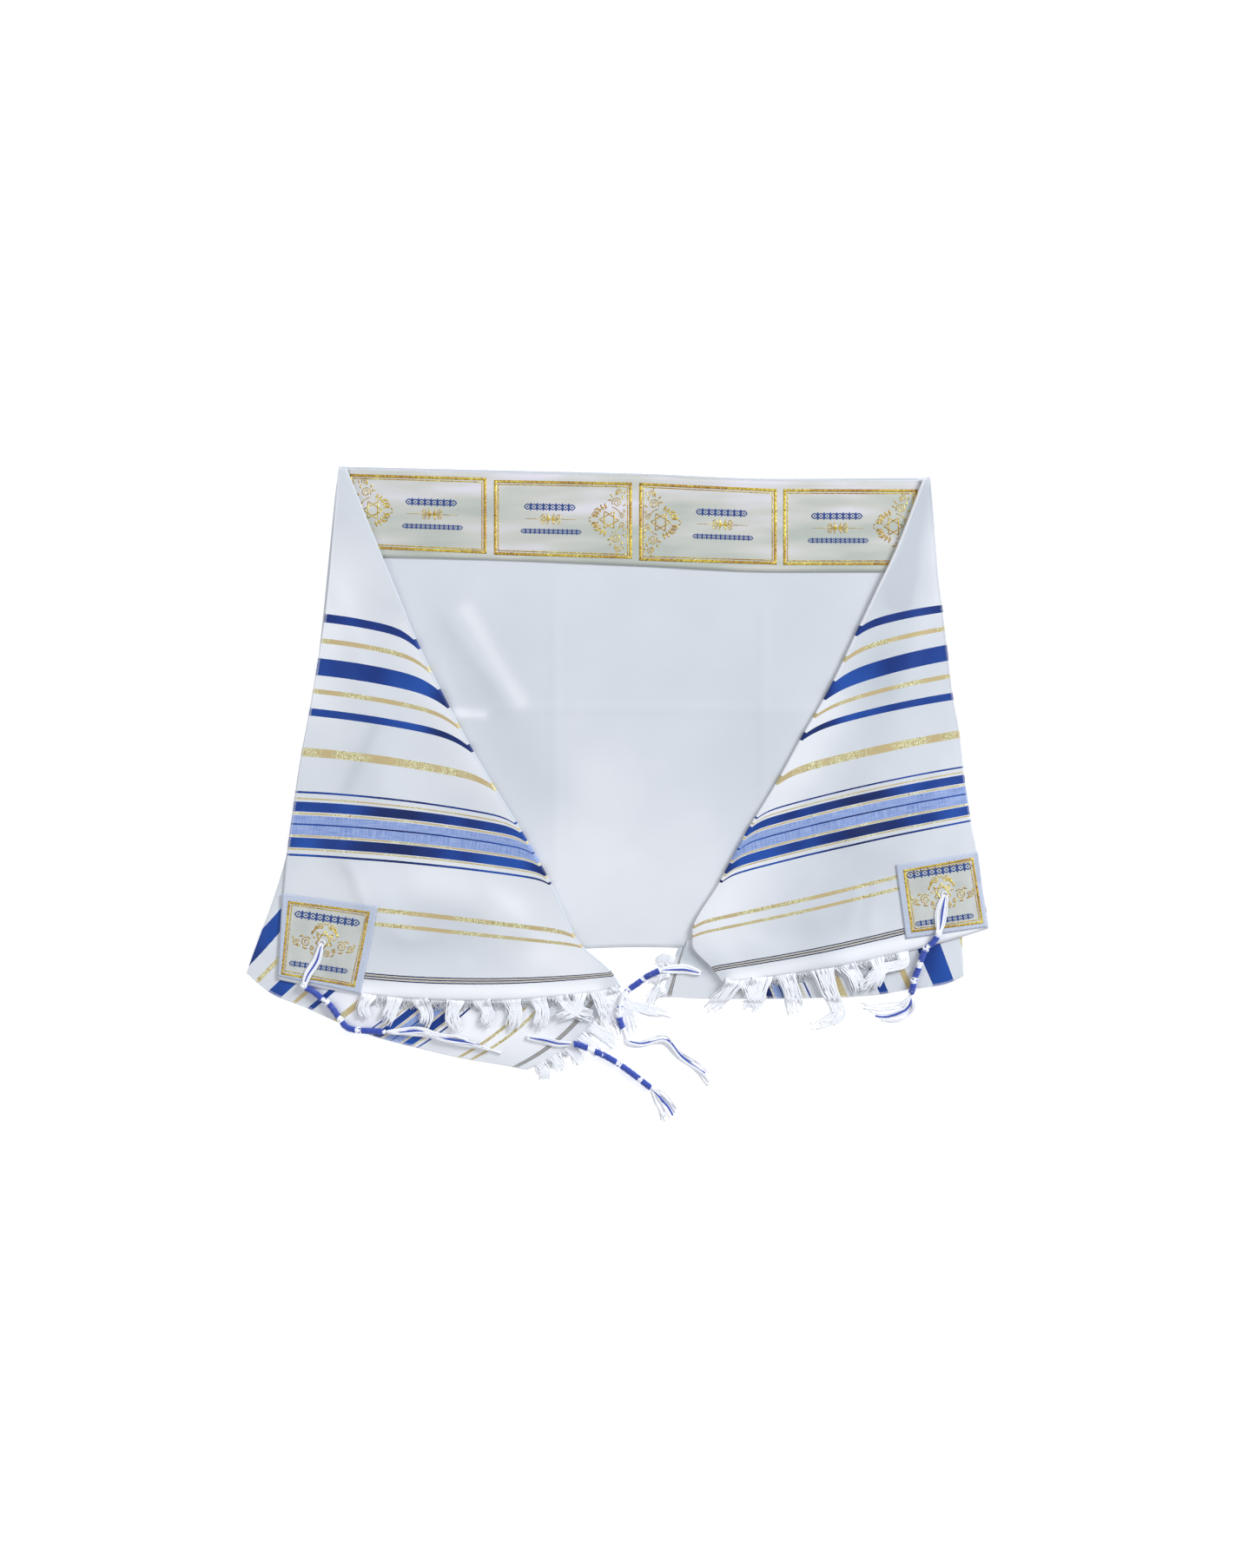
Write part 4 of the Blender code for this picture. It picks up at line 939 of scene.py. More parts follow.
def twisted_yarn(name, painted_groove_shade, light, pitch, roughness):
    """Plied yarn: its strands wind round each other, with painted shade in the grooves between them."""
    material, shader = new_material(name, {"Roughness": roughness, "Sheen Weight": 0.3,
                                           "Sheen Roughness": 0.5, "Specular IOR Level": 0.3})
    place = add_node(material, "ShaderNodeUVMap", {"uv_map": "cord_map"}).outputs["UV"]
    parts = add_node(material, "ShaderNodeSeparateXYZ", inputs={"Vector": place})
    turn = calculate(material, "MULTIPLY", parts.outputs["X"], 2.0)
    along = calculate(material, "DIVIDE", parts.outputs["Y"], pitch)
    phase = calculate(material, "FRACT", calculate(material, "ADD", turn, along), 0.0)
    ridge = calculate(material, "PINGPONG", calculate(material, "MULTIPLY", phase, 2.0), 1.0)
    colour = colour_ramp(material, ridge, ((0.0, painted_groove_shade), (0.45, light), (1.0, light)))
    link_shader(material, shader, "Base Color", colour)
    bump = add_node(material, "ShaderNodeBump", {}, {"Strength": 0.35, "Distance": 0.0003, "Height": ridge})
    link_shader(material, shader, "Normal", bump.outputs["Normal"])


def studio_paper(colours):
    """Seamless studio paper lit from below as well: matt, and white to the edge of the picture."""
    material, shader = new_material("studio_paper", {"Roughness": 0.95, "Specular IOR Level": 0.1,
                                                     "Emission Color": shade(colours.paper),
                                                     "Emission Strength": 0.45})
    place = add_node(material, "ShaderNodeTexCoord").outputs["Object"]
    tooth = add_node(material, "ShaderNodeTexNoise", inputs={"Vector": place, "Scale": 30.0, "Detail": 2.0})
    colour = colour_ramp(material, tooth.outputs["Fac"], ((0.2, colours.paper), (0.8, colours.paper_warm)))
    link_shader(material, shader, "Base Color", colour)


def materials():
    """Every material of the shawl, made once and found by name."""
    found = bpy.data.materials.get("striped_shawl_cloth")
    if not found:
        colours = bpy.context.scene.shawl_colours
        sizes = bpy.context.scene.shawl_sizes
        striped_cloth(colours, sizes)
        plain_cloth(colours, sizes)
        collar_satin(colours, sizes)
        patch_satin(colours, sizes)
        gold_foil(colours, sizes)
        navy_print(colours)
        twisted_yarn("plied_fringe_yarn", colours.yarn_shadow, colours.yarn, 0.0024, 0.8)
        twisted_yarn("tassel_white_cord", colours.yarn_shadow, colours.yarn, 0.0030, 0.75)
        twisted_yarn("tassel_blue_cord", colours.cord_painted_shade, colours.cord_blue, 0.0026, 0.6)
        twisted_yarn("overlock_thread", colours.yarn_shadow, colours.yarn, 0.0012, 0.7)
    return bpy.data.materials


# Meshes

def new_shape():
    """Points, faces and map places that a piece is gathered in."""
    return {"points": [], "faces": [], "map": []}


def add_rings(shape, rings, lengths):
    """A closed tube through rings of points, with its map round and along it."""
    count, sides = rings.shape[:2]
    first = len(shape["points"])
    shape["points"].extend(rings.reshape(-1, 3).tolist())
    for row in range(count - 1):
        near, far = lengths[row] * MM, lengths[row + 1] * MM
        for corner in range(sides):
            after = (corner + 1) % sides
            start = first + row * sides
            shape["faces"].append((start + corner, start + after, start + sides + after,
                                   start + sides + corner))
            left, right = corner / sides, (corner + 1) / sides
            shape["map"] += [(left, near), (right, near), (right, far), (left, far)]
    last = first + (count - 1) * sides
    shape["faces"].append(tuple(range(first + sides - 1, first - 1, -1)))
    shape["faces"].append(tuple(range(last, last + sides)))
    shape["map"] += [(0.5, lengths[0] * MM)] * sides + [(0.5, lengths[-1] * MM)] * sides


def unit_runs(chain):
    """Unit directions along a chain of places."""
    runs = np.gradient(chain, axis=0)
    return runs / np.maximum(np.linalg.norm(runs, axis=1, keepdims=True), 1e-9)


def add_tube(shape, chain, radii, sides=5):
    """A closed round tube along a chain of places."""
    chain = np.asarray(chain, float)
    radii = np.broadcast_to(np.asarray(radii, float), len(chain))
    runs = unit_runs(chain)
    side = np.cross(np.array([0.0, 0.0, 1.0]), runs[0])
    if np.linalg.norm(side) < 1e-3:
        side = np.array([1.0, 0.0, 0.0])
    angles = np.arange(sides) * math.tau / sides
    rings = np.zeros((len(chain), sides, 3))
    for index, (place, run) in enumerate(zip(chain, runs)):
        side = side - run * side.dot(run)
        side /= np.linalg.norm(side)
        up = np.cross(run, side)
        rings[index] = place + radii[index] * (np.outer(np.cos(angles), side) + np.outer(np.sin(angles), up))
    add_rings(shape, rings, run_lengths(chain))


def add_band(shape, chain, widths, thickness):
    """A flat closed band along a chain of places."""
    chain = np.asarray(chain, float)
    widths = np.broadcast_to(np.asarray(widths, float), len(chain))
    runs = unit_runs(chain * np.array([1.0, 1.0, 0.0]))
    rings = np.zeros((len(chain), 4, 3))
    for index, (place, run) in enumerate(zip(chain, runs)):
        side = np.array([-run[1], run[0], 0.0]) * widths[index] / 2
        rise = np.array([0.0, 0.0, thickness])
        rings[index] = (place + side, place + side + rise, place - side + rise, place - side)
    add_rings(shape, rings, run_lengths(chain))


def finish_piece(name, mesh, material, nodes=()):
    """Puts a mesh in the scene as a piece that rides on the shawl."""
    mesh.materials.append(materials()[material])
    mesh.shade_smooth()
    piece = bpy.data.objects.new(name, mesh)
    bpy.context.collection.objects.link(piece)
    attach(piece, "root")
    if nodes:
        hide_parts(*nodes)
    return piece


def piece_from_shape(shape, name, material, nodes=()):
    """A piece from gathered points and faces, in millimetres."""
    mesh = bpy.data.meshes.new(name)
    mesh.from_pydata((np.array(shape["points"]) * MM).tolist(), [], shape["faces"])
    layer = mesh.uv_layers.new(name="cord_map")
    layer.data.foreach_set("uv", np.array(shape["map"], float).ravel())
    mesh.validate()
    return finish_piece(name, mesh, material, nodes)


def sheet_from_grid(name, grid, places, wall, material, nodes, tones):
    """A thin sheet of cloth through a grid of points, given its wall by Solidify."""
    rows, columns = grid.shape[:2]
    spots = np.arange(rows * columns).reshape(rows, columns)
    quads = np.stack([spots[:-1, :-1], spots[1:, :-1], spots[1:, 1:], spots[:-1, 1:]], axis=-1).reshape(-1, 4)
    middle_row, middle_column = rows // 2, columns // 2
    down = grid[middle_row + 1, middle_column] - grid[middle_row, middle_column]
    along = grid[middle_row, middle_column + 1] - grid[middle_row, middle_column]
    normal = np.cross(down, along)
    if normal[2] < 0:
        quads = quads[:, ::-1]
    mesh = bpy.data.meshes.new(name)
    mesh.from_pydata((grid.reshape(-1, 3) * MM).tolist(), [], quads.tolist())
    for map_name, values in (("cloth_map", places), ("tone_map", tones)):
        layer = mesh.uv_layers.new(name=map_name)
        layer.data.foreach_set("uv", values.reshape(-1, 2)[quads.ravel()].ravel())
    piece = finish_piece(name, mesh, material, nodes)
    bpy.ops.object.select_all(action="DESELECT")
    piece.select_set(True)
    bpy.context.view_layer.objects.active = piece
    solidify = piece.modifiers.new("Wall", "SOLIDIFY")
    solidify.thickness = wall * MM
    solidify.offset = 0.0
    solidify.use_even_offset = False
    bpy.ops.object.modifier_apply(modifier=solidify.name)
    return piece


def surface_of(pieces):
    """The joined surfaces of pieces, in millimetres, for finding what lies at a place."""
    vertices, faces = [], []
    for piece in pieces:
        start = len(vertices)
        vertices += [vertex.co / MM for vertex in piece.data.vertices]
        faces += [[start + index for index in face.vertices] for face in piece.data.polygons]
    return BVHTree.FromPolygons(vertices, faces)


def top_at(surface, x, y, otherwise=0.0):
    """Height of the top of what lies at a place."""
    place, _, _, _ = surface.ray_cast(Vector((x, y, ABOVE_ALL)), Vector((0, 0, -1)))
    return place.z if place else otherwise


relief = {"top": np.zeros(RELIEF_CELLS), "cloth": np.zeros(RELIEF_CELLS)}


def take_relief(pieces):
    """Fills the relief with the height of the highest cloth over each cell."""
    surface = surface_of(pieces)
    tops = relief["top"]
    for column in range(RELIEF_CELLS[0]):
        x = RELIEF_LOW[0] + column * RELIEF_STEP
        for row in range(RELIEF_CELLS[1]):
            tops[column, row] = top_at(surface, x, RELIEF_LOW[1] + row * RELIEF_STEP)
    relief["cloth"] = tops.copy()


def relief_spots(chain):
    """Cells of the relief under places."""
    cells = (np.asarray(chain)[:, :2] - RELIEF_LOW) / RELIEF_STEP
    return np.clip(np.round(cells).astype(int), 1, np.array(RELIEF_CELLS) - 2)


def relief_under(chain):
    """Highest relief in the cells at and beside each place, no more than a pile above the cloth."""
    cells = relief_spots(chain)
    highest = {}
    for name, tops in relief.items():
        around = [tops[cells[:, 0] + across, cells[:, 1] + along] for across in (-1, 0, 1)
                  for along in (-1, 0, 1)]
        highest[name] = np.max(around, axis=0)
    return np.minimum(highest["top"], highest["cloth"] + PILE_LIMIT)


def raise_relief(chain, radius):
    """Adds a laid strand to the relief, so that the next one rests on it."""
    cells = relief_spots(chain)
    heights = np.asarray(chain)[:, 2] + radius
    for (column, row), height in zip(cells, heights):
        spot = relief["top"][column, row]
        relief["top"][column, row] = max(spot, height)


def rest_chain(plan, radius, start_height=None, ease=2):
    """A chain of places laid on the relief, easing down from the height that it starts at."""
    floors = relief_under(plan)
    soft = np.convolve(np.pad(floors, 1, mode="edge"), (0.25, 0.5, 0.25), mode="valid")
    heights = np.maximum(floors, soft) + radius
    if start_height is not None:
        share = np.clip(np.arange(len(plan)) / ease, 0, 1)
        heights = start_height * (1 - share) + heights * share
    return np.column_stack([plan[:, :2], heights])


# Cloth

def painted_light_places(x, y, rows):
    """Map places whose first value is the painted light and shade of the white at each point, 0 painted shade
    to 1 painted highlight.
    """
    return np.stack([np.clip(MIDDLE_TONE + swell(x, y, rows), 0, 1), np.zeros(np.shape(x))], axis=-1)


def woven_places(side, layer, grid, shares, across=None):
    """Map places of a folded layer: metres across it, and the share of the length that is woven there."""
    share = np.broadcast_to(shares[:, None], grid.shape[:2])
    if across is not None:
        knots = [row[0] for row in STRIPE_HOOKS]
        lift = along_table(knots, [row[1] for row in STRIPE_HOOKS], shares)[:, None]
        sharpness = along_table(knots, [row[2] for row in STRIPE_HOOKS], shares)[:, None]
        drop = np.maximum(0, section(side, "selvage_y", shares) - section(side, "fold_y", shares))[:, None]
        share = share + HOOK_PART[side] * lift * drop * (across - across ** sharpness) * MM / FLAP_LENGTH
    knots, values = zip(*WOVEN_SHARES[side + "_" + layer])
    return np.stack([across_metres(grid), along_table(knots, values, share)], axis=-1)


def flat_places(x, y):
    """Map places of a flat piece: metres from its left, and metres from its top over the flap's length."""
    return np.stack([(x - x.min()) * MM, (y.max() - y) * MM / FLAP_LENGTH], axis=-1)


def grid_shares(rows, columns):
    """Shares of the way down and across at each point of a grid."""
    down = np.repeat(np.linspace(0, 1, rows)[:, None], columns, axis=1)
    return down, np.repeat(np.linspace(0, 1, columns)[None, :], rows, axis=0)


def row_shares():
    """Shares of a flap's length at the sheet's rows, closer where the sides bend."""
    return np.unique(np.concatenate([np.linspace(0, 1, FLAP_ROWS), [CORNER_SHARE, 0.85, 0.965]]))


def across_metres(grid):
    """Distance across the cloth at each point of a grid, along its rows, in metres."""
    steps = np.linalg.norm(np.diff(grid, axis=1), axis=2)
    return np.concatenate([np.zeros((grid.shape[0], 1)), np.cumsum(steps, axis=1)], axis=1) * MM


def make_flap(side, wall):
    """The upper folded layer of one end, its inner fold rolled under."""
    shares = row_shares()
    inward = outward_normals(side, "fold", shares, -OUTWARD[side])
    curl = curl_of(side, shares)
    roll = inner_roll(side, shares)
    centre = roll_centre(side, shares)
    columns = []
    steps = np.linspace(0, 1, FLAP_COLUMNS)
    steps = 0.35 * (0.5 - 0.5 * np.cos(math.pi * steps)) + 0.65 * steps
    for across in steps:
        plan = flap_plan(side, shares, np.full(len(shares), across))
        columns.append(np.column_stack([plan, flap_level(side, plan[:, 0], plan[:, 1])]))
    top = columns[-1][:, 2]
    low = under_level(centre[:, 0], centre[:, 1]) + LAYER * curl
    for turn in np.radians(np.linspace(80, -90, ROLL_COLUMNS)):
        plan = centre + inward * (roll * math.cos(turn))[:, None]
        columns.append(np.column_stack([plan, (top + low) / 2 + (top - low) / 2 * math.sin(turn)]))
    for reach in (FOLD_RETURN / 2, FOLD_RETURN):
        plan = centre - inward * reach
        columns.append(np.column_stack([plan, under_level(plan[:, 0], plan[:, 1]) + LAYER * curl]))
    grid = np.stack(columns, axis=1)
    across = np.concatenate([steps, np.ones(grid.shape[1] - FLAP_COLUMNS)])[None, :]
    # Painted light and shade of the white, and of the rolled fold, go in the sheet's own map
    tones = painted_light_places(grid[..., 0], grid[..., 1], FLAP_PAINTED_LIGHT)
    tones[:, FLAP_COLUMNS:, 0] = ROLL_TONES[side]
    return sheet_from_grid(side + "_flap_cloth", grid, woven_places(side, "flap", grid, shares, across), wall,
                           "striped_shawl_cloth", [side + "_flap"], tones)


def make_under(side, wall):
    """The lower folded layer of one end, with the reverse of the cloth up."""
    shares = row_shares()
    fold_drop = 1 - smooth_step((shares - CORNER_SHARE + 0.03) / 0.05)
    length = np.linalg.norm(under_plan(side, shares, np.zeros(len(shares)))
                            - section_curve(side, "edge", shares), axis=1)
    fullness = np.minimum(1, length / SHORT_ROW)
    oblique = (1 + OBLIQUE_ROWS * fold_drop) * fullness
    flat_share = 1 - OUTER_TURN[0][0] * oblique / length
    columns = []
    for column in range(UNDER_COLUMNS):
        plan = under_plan(side, shares, flat_share * column / UNDER_COLUMNS)
        columns.append(np.column_stack([plan, under_level(plan[:, 0], plan[:, 1])]))
    for inset, drop in OUTER_TURN:
        plan = under_plan(side, shares, 1 - inset * oblique / length)
        level = under_level(plan[:, 0], plan[:, 1]) - drop * fold_drop * fullness
        columns.append(np.column_stack([plan, level]))
    grid = np.stack(columns, axis=1)
    # The white of the lower layer carries painted light and shade from the lower table
    return sheet_from_grid(side + "_under_cloth", grid, woven_places(side, "under", grid, shares), wall,
                           "striped_shawl_cloth", [side + "_under"],
                           painted_light_places(grid[..., 0], grid[..., 1], LOWER_PAINTED_LIGHT))


def make_back_panel(wall):
    """The middle of the shawl, flat between the outer folds."""
    down, across = grid_shares(*BACK_GRID)
    x = BACK_GUESS[0] + across * BACK_GUESS[1]
    for _ in range(4):
        y = back_edge("top_y", x) * (1 - down) + back_edge("bottom_y", x) * down
        start = outer_fold_x("left", y) + BACK_INSET
        end = outer_fold_x("right", y) - BACK_INSET
        x = start * (1 - across) + end * across
    grid = np.stack([x, y, back_level(x, y)], axis=-1)
    # The white of the back panel carries painted light and shade from the lower table
    return sheet_from_grid("back_panel_cloth", grid, flat_places(x, y), wall, "plain_shawl_cloth",
                           ["back_panel"], painted_light_places(x, y, LOWER_PAINTED_LIGHT))


def make_collar(wall):
    """The satin band along the upper edge."""
    down, across = grid_shares(*COLLAR_GRID)
    start = COLLAR_LEFT[0] * (1 - down) + COLLAR_LEFT[1] * down
    end = COLLAR_RIGHT[0] * (1 - down) + COLLAR_RIGHT[1] * down
    x = start + (end - start) * across
    y = back_edge("collar_top_y", x) * (1 - down) + back_edge("collar_bottom_y", x) * down
    level = SOLID_CLOTH + SEAM + SOLID_COLLAR / 2 + 0.25 * ripple(x * 1.4, y * 1.4)
    grid = np.stack([x, y, level], axis=-1)
    places = flat_places(x, y)
    return sheet_from_grid("collar_band", grid, places, wall, "pearly_polyester_satin",
                           ["collar"], np.zeros_like(places))


def patch_spot(corners, across, down):
    """The place on a four-cornered patch at shares of its width and height."""
    top_left, top_right, low_right, low_left = (np.array(corner, float) for corner in corners)
    upper = top_left * (1 - across) + top_right * across
    lower = low_left * (1 - across) + low_right * across
    return upper * (1 - down) + lower * down


def make_patch(side, flap, wall):
    """A corner patch, laid on the flap."""
    count = PATCH_GRID
    surface = surface_of([flap])
    grid = np.zeros((count, count, 3))
    margin = np.zeros((count, count, 2))
    for row in range(count):
        for column in range(count):
            across, down = column / (count - 1), row / (count - 1)
            x, y = patch_spot(PATCHES[side], across, down)
            grid[row, column] = (x, y, top_at(surface, x, y, -1.0))
            margin[row, column, 0] = 1.0 if min(across, down, 1 - across, 1 - down) < FRAYED_SHARE else 0.0
    known = grid[..., 2] > -1
    grid[..., 2] = np.where(known, grid[..., 2], grid[known][:, 2].mean())
    for _ in range(3):
        padded = np.pad(grid[..., 2], 1, mode="edge")
        around = [padded[1 + a:count + 1 + a, 1 + b:count + 1 + b] for a in (-1, 0, 1) for b in (-1, 0, 1)]
        grid[..., 2] = np.maximum(grid[..., 2], np.mean(around, axis=0))
    grid[..., 2] += PATCH_GAP + wall / 2
    x, y = grid[..., 0], grid[..., 1]
    return sheet_from_grid(side + "_patch_cloth", grid, flat_places(x, y), wall, "woven_label_satin",
                           [side + "_patch"], margin)


# Overlocked edges

def add_overlock(shape, edge, inward, wall, pitch):
    """Stitches wrapped round an edge: places of the edge, with the way in from it, are given."""
    lengths = run_lengths(edge)
    count = int(lengths[-1] / pitch)
    marks = (np.arange(count) + 0.5) * pitch
    places = at_lengths(marks, lengths, edge)
    ways = at_lengths(marks, lengths, inward)
    ways /= np.linalg.norm(ways, axis=1, keepdims=True)
    half = wall / 2 + THREAD_RADIUS
    along = unit_runs(edge * np.array([1.0, 1.0, 0.0]))
    slips = at_lengths(marks, lengths, along[:, :2]) * pitch * 0.5
    for number, (place, way, slip) in enumerate(zip(places, ways, slips)):
        depth = STITCH_DEPTH + 0.4 * math.sin(number * 2.4)
        chain = []
        for reach, up, shift in ((depth, 1, -0.6), (0.4, 1, 0.0), (-0.15, 0, 0.2), (0.4, -1, 0.5),
                                 (depth, -1, 1)):
            spot = place[:2] + way * reach + slip * shift
            chain.append((spot[0], spot[1], max(THREAD_RADIUS, place[2] + up * half)))
        add_tube(shape, chain, THREAD_RADIUS, 4)


def make_overlocks(wall, pitch):
    """Thread stitched over the long edges of the cloth."""
    shape = new_shape()
    for side in SIDES:
        shares = np.linspace(0.02, 0.995, 220)
        edge = section_curve(side, "selvage", shares)
        inward = outward_normals(side, "selvage", shares, -OUTWARD[side])
        ahead = flap_plan(side, shares, np.full(len(shares), 0.2)) - edge
        inward *= np.sign(np.sum(inward * ahead, axis=1, keepdims=True))
        level = flap_level(side, edge[:, 0], edge[:, 1])
        add_overlock(shape, np.column_stack([edge, level]), inward, wall, pitch)
        shares = np.linspace(CORNER_SHARE + 0.02, 0.995, 160)
        edge = section_curve(side, "edge", shares)
        inward = outward_normals(side, "edge", shares, 1)
        inward *= np.sign(inward[:, 1:2])
        level = under_level(edge[:, 0], edge[:, 1])
        add_overlock(shape, np.column_stack([edge, level]), inward, wall, pitch)
    for name, way in (("bottom_y", 1), ("top_y", -1)):
        x = np.linspace(-330, 325, 160)
        y = back_edge(name, x)
        inward = np.stack([np.zeros(len(x)), np.full(len(x), float(way))], axis=1)
        add_overlock(shape, np.column_stack([x, y, np.full(len(x), FLOOR_LEVEL)]), inward, wall, pitch)
    return piece_from_shape(shape, "overlocked_edges", "overlock_thread")


# Prints

def scroll_points(x, y, radius, start, turns, hand):
    """A scroll that winds in towards its eye at a place."""
    points = []
    for share in np.linspace(0, 1, SCROLL_STEPS + 1):
        turn = start + hand * share * turns * math.tau
        reach = radius * (1 - 0.82 * share)
        points.append((x + reach * math.cos(turn), y + reach * math.sin(turn)))
    return points


def leaf_points(x, y, length, turn, bend=0.0):
    """The middle line of a leaf, from its stalk."""
    points = []
    for share in np.linspace(0, 1, LEAF_STEPS + 1):
        angle = turn + bend * share
        points.append((x + length * share * math.cos(angle), y + length * share * math.sin(angle)))
    return points


def swelled(count, width):
    """Widths of a leaf: thin at both ends."""
    turns = [math.pi * (0.08 + 0.84 * step / (count - 1)) for step in range(count)]
    return [max(THINNEST_LINE, width * math.sin(turn)) for turn in turns]


def star_points(radius, turned):
    """Two crossed triangles, as two closed lines, turned by an angle."""
    lines = []
    for start in (turned, turned + math.pi):
        turns = [start + corner * math.tau / 3 for corner in range(3)]
        corners = [(radius * math.cos(turn), radius * math.sin(turn)) for turn in turns]
        line = []
        for first, second in zip(corners, corners[1:] + corners[:1]):
            line += [(first[0] * (1 - share) + second[0] * share, first[1] * (1 - share) + second[1] * share)
                     for share in (0.03, 0.35, 0.65, 0.97)]
        lines.append(line + line[:1])
    return lines


def arc_points(radius, start, end, count=12):
    """Part of a ring round the middle, between two angles in degrees."""
    turns = np.radians(np.linspace(start, end, count))
    return [(radius * math.cos(turn), radius * math.sin(turn)) for turn in turns]


def draw(shape, points, width, spot, height_at):
    """A flat printed line: spot turns its points to plan, and height_at gives the surface below."""
    plan = np.array([spot(x, y) for x, y in points])
    heights = np.array([height_at(x, y) for x, y in plan])
    add_band(shape, np.column_stack([plan, heights + PRINT_LIFT]), width, PRINT_THICKNESS)


def draw_rosette(gold, spot, height_at, mirror):
    """A six-pointed star hugged by a wreath of leafy scrolls, with a column of scrolls beside it."""
    def put(points, width):
        draw(gold, [(x * mirror, y) for x, y in points], width, spot, height_at)

    def leaf(x, y, length, turn, bend, width):
        points = leaf_points(x, y, length, turn, bend)
        put(points, swelled(len(points), width))

    for line in star_points(11.5, 0.0):
        put(line, 1.15)
    for way in (-1, 1):
        put(arc_points(15.6, way * 100, way * 168), 1.0)
        put(arc_points(15.2, way * 32, way * 78, 8), 0.8)
        for angle in (102, 117, 132, 147, 162):
            turn = math.radians(way * angle)
            x, y = 15.8 * math.cos(turn), 15.8 * math.sin(turn)
            leaf(x, y, 4.6, turn + way * 0.9, -way * 0.6, 1.9)
            leaf(x * 0.97, y * 0.97, 3.0, turn + way * 2.2, way * 0.5, 1.3)
        put(scroll_points(-17.2, way * 5.4, 3.4, 0.6 * way, 1.5, way), 0.9)
        put(scroll_points(14.6, way * 5.2, 3.6, 2.6 * way, 1.5, -way), 0.9)
        put(scroll_points(8.6, way * 20.6, 6.0, way * 3.6, 1.75, -way), 1.0)
        put(scroll_points(11.6, way * 33.4, 4.0, way * 4.4, 1.6, -way), 0.95)
        for x, y, length, turn, bend, width in ROSETTE_LEAVES:
            leaf(x, way * y, length, way * turn, way * bend, width)


def draw_flourish(gold, spot, height_at):
    """A pair of leafy curls with a thin line on each side."""
    for mirror in (-1, 1):
        def put(points, width):
            draw(gold, [(x * mirror, y) for x, y in points], width, spot, height_at)

        put(scroll_points(8.6, 3.0, 3.4, -2.4, 1.4, 1), 0.9)
        put(scroll_points(8.6, -3.0, 3.4, 2.4, 1.4, -1), 0.9)
        for length, turn in ((7.5, 0.6), (7.0, 0.15), (7.0, -0.15), (7.5, -0.6)):
            leaf = leaf_points(0.4, 0.0, length, turn, turn * 0.8)
            put(leaf, swelled(len(leaf), 1.6))
        put([(12.5, 0.0), (19.0, 0.0), (30.0, 0.0)], [0.7, 0.6, 0.25])


def draw_braid(ink, spot, height_at, length, height):
    """A braid of two strands, with an eye in each mesh and a bud over and under each crossing."""
    meshes = max(4, int(round(length / (height * 0.86))))
    pitch = length / meshes
    steps = 8
    for way in (-1, 1):
        strand = [(-length / 2 + step * pitch / steps, way * 0.34 * height * math.sin(math.pi * step / steps))
                  for step in range(meshes * steps + 1)]
        draw(ink, strand, 0.15 * height, spot, height_at)
    for mesh in range(meshes):
        x = -length / 2 + (mesh + 0.5) * pitch
        reach = 0.17 * pitch
        draw(ink, [(x - reach, 0), (x, 0), (x + reach, 0)], [0.15, 0.26 * height, 0.15], spot, height_at)
        if mesh == 0:
            continue
        crossing = x - 0.5 * pitch
        for way in (-1, 1):
            bud = leaf_points(crossing, way * 0.16 * height, 0.36 * height, way * math.pi / 2)
            draw(ink, bud, swelled(len(bud), 0.26 * height), spot, height_at)


def draw_frame(gold, corners, widths, insets, height_at):
    """Nested lines round a four-cornered frame."""
    corners = np.array(corners, float)
    centre = corners.mean(axis=0)
    for width, inset in zip(widths, insets):
        drawn = []
        for corner in corners:
            away = corner - centre
            drawn.append(centre + away - np.sign(away) * inset)
        for first, second in zip(drawn, drawn[1:] + drawn[:1]):
            run = (second - first) / np.linalg.norm(second - first)
            count = 28
            start, end = first - run * width / 2, second + run * width / 2
            line = [tuple(start * (1 - step / count) + end * step / count) for step in range(count + 1)]
            draw(gold, line, width, lambda x, y: (x, y), height_at)


def make_collar_print(collar):
    """Gold frames, rosettes and flourishes, and navy ornament, printed on the collar."""
    surface = surface_of([collar])
    gold, ink = new_shape(), new_shape()

    def height_at(x, y):
        return top_at(surface, x, y, SOLID_CLOTH + SEAM + SOLID_COLLAR)

    for row in COLLAR_FRAMES:
        left, right, top_left, top_right, low_left, low_right, side, star_x, star_y, mid_x, mid_y = row
        corners = ((left, top_left), (right, top_right), (right, low_right), (left, low_left))
        draw_frame(gold, corners, (3.2, 1.1), (1.6, 5.0), height_at)
        slope = ((top_right - top_left) + (low_right - low_left)) / 2 / (right - left)

        def placed(centre_x, centre_y):
            return lambda x, y: (centre_x + x - slope * y, centre_y + y + slope * x)

        draw_rosette(gold, placed(star_x, star_y), height_at, side)
        draw_flourish(gold, placed(mid_x, mid_y), height_at)
        draw_braid(ink, placed(mid_x - 1, mid_y + 14), height_at, 59.0, 8.6)
        draw_braid(ink, placed(mid_x + 0.5, mid_y - 14.5), height_at, 70.0, 6.4)
    return [piece_from_shape(gold, "collar_gold_print", "gold_glitter_foil"),
            piece_from_shape(ink, "collar_navy_print", "navy_print")]


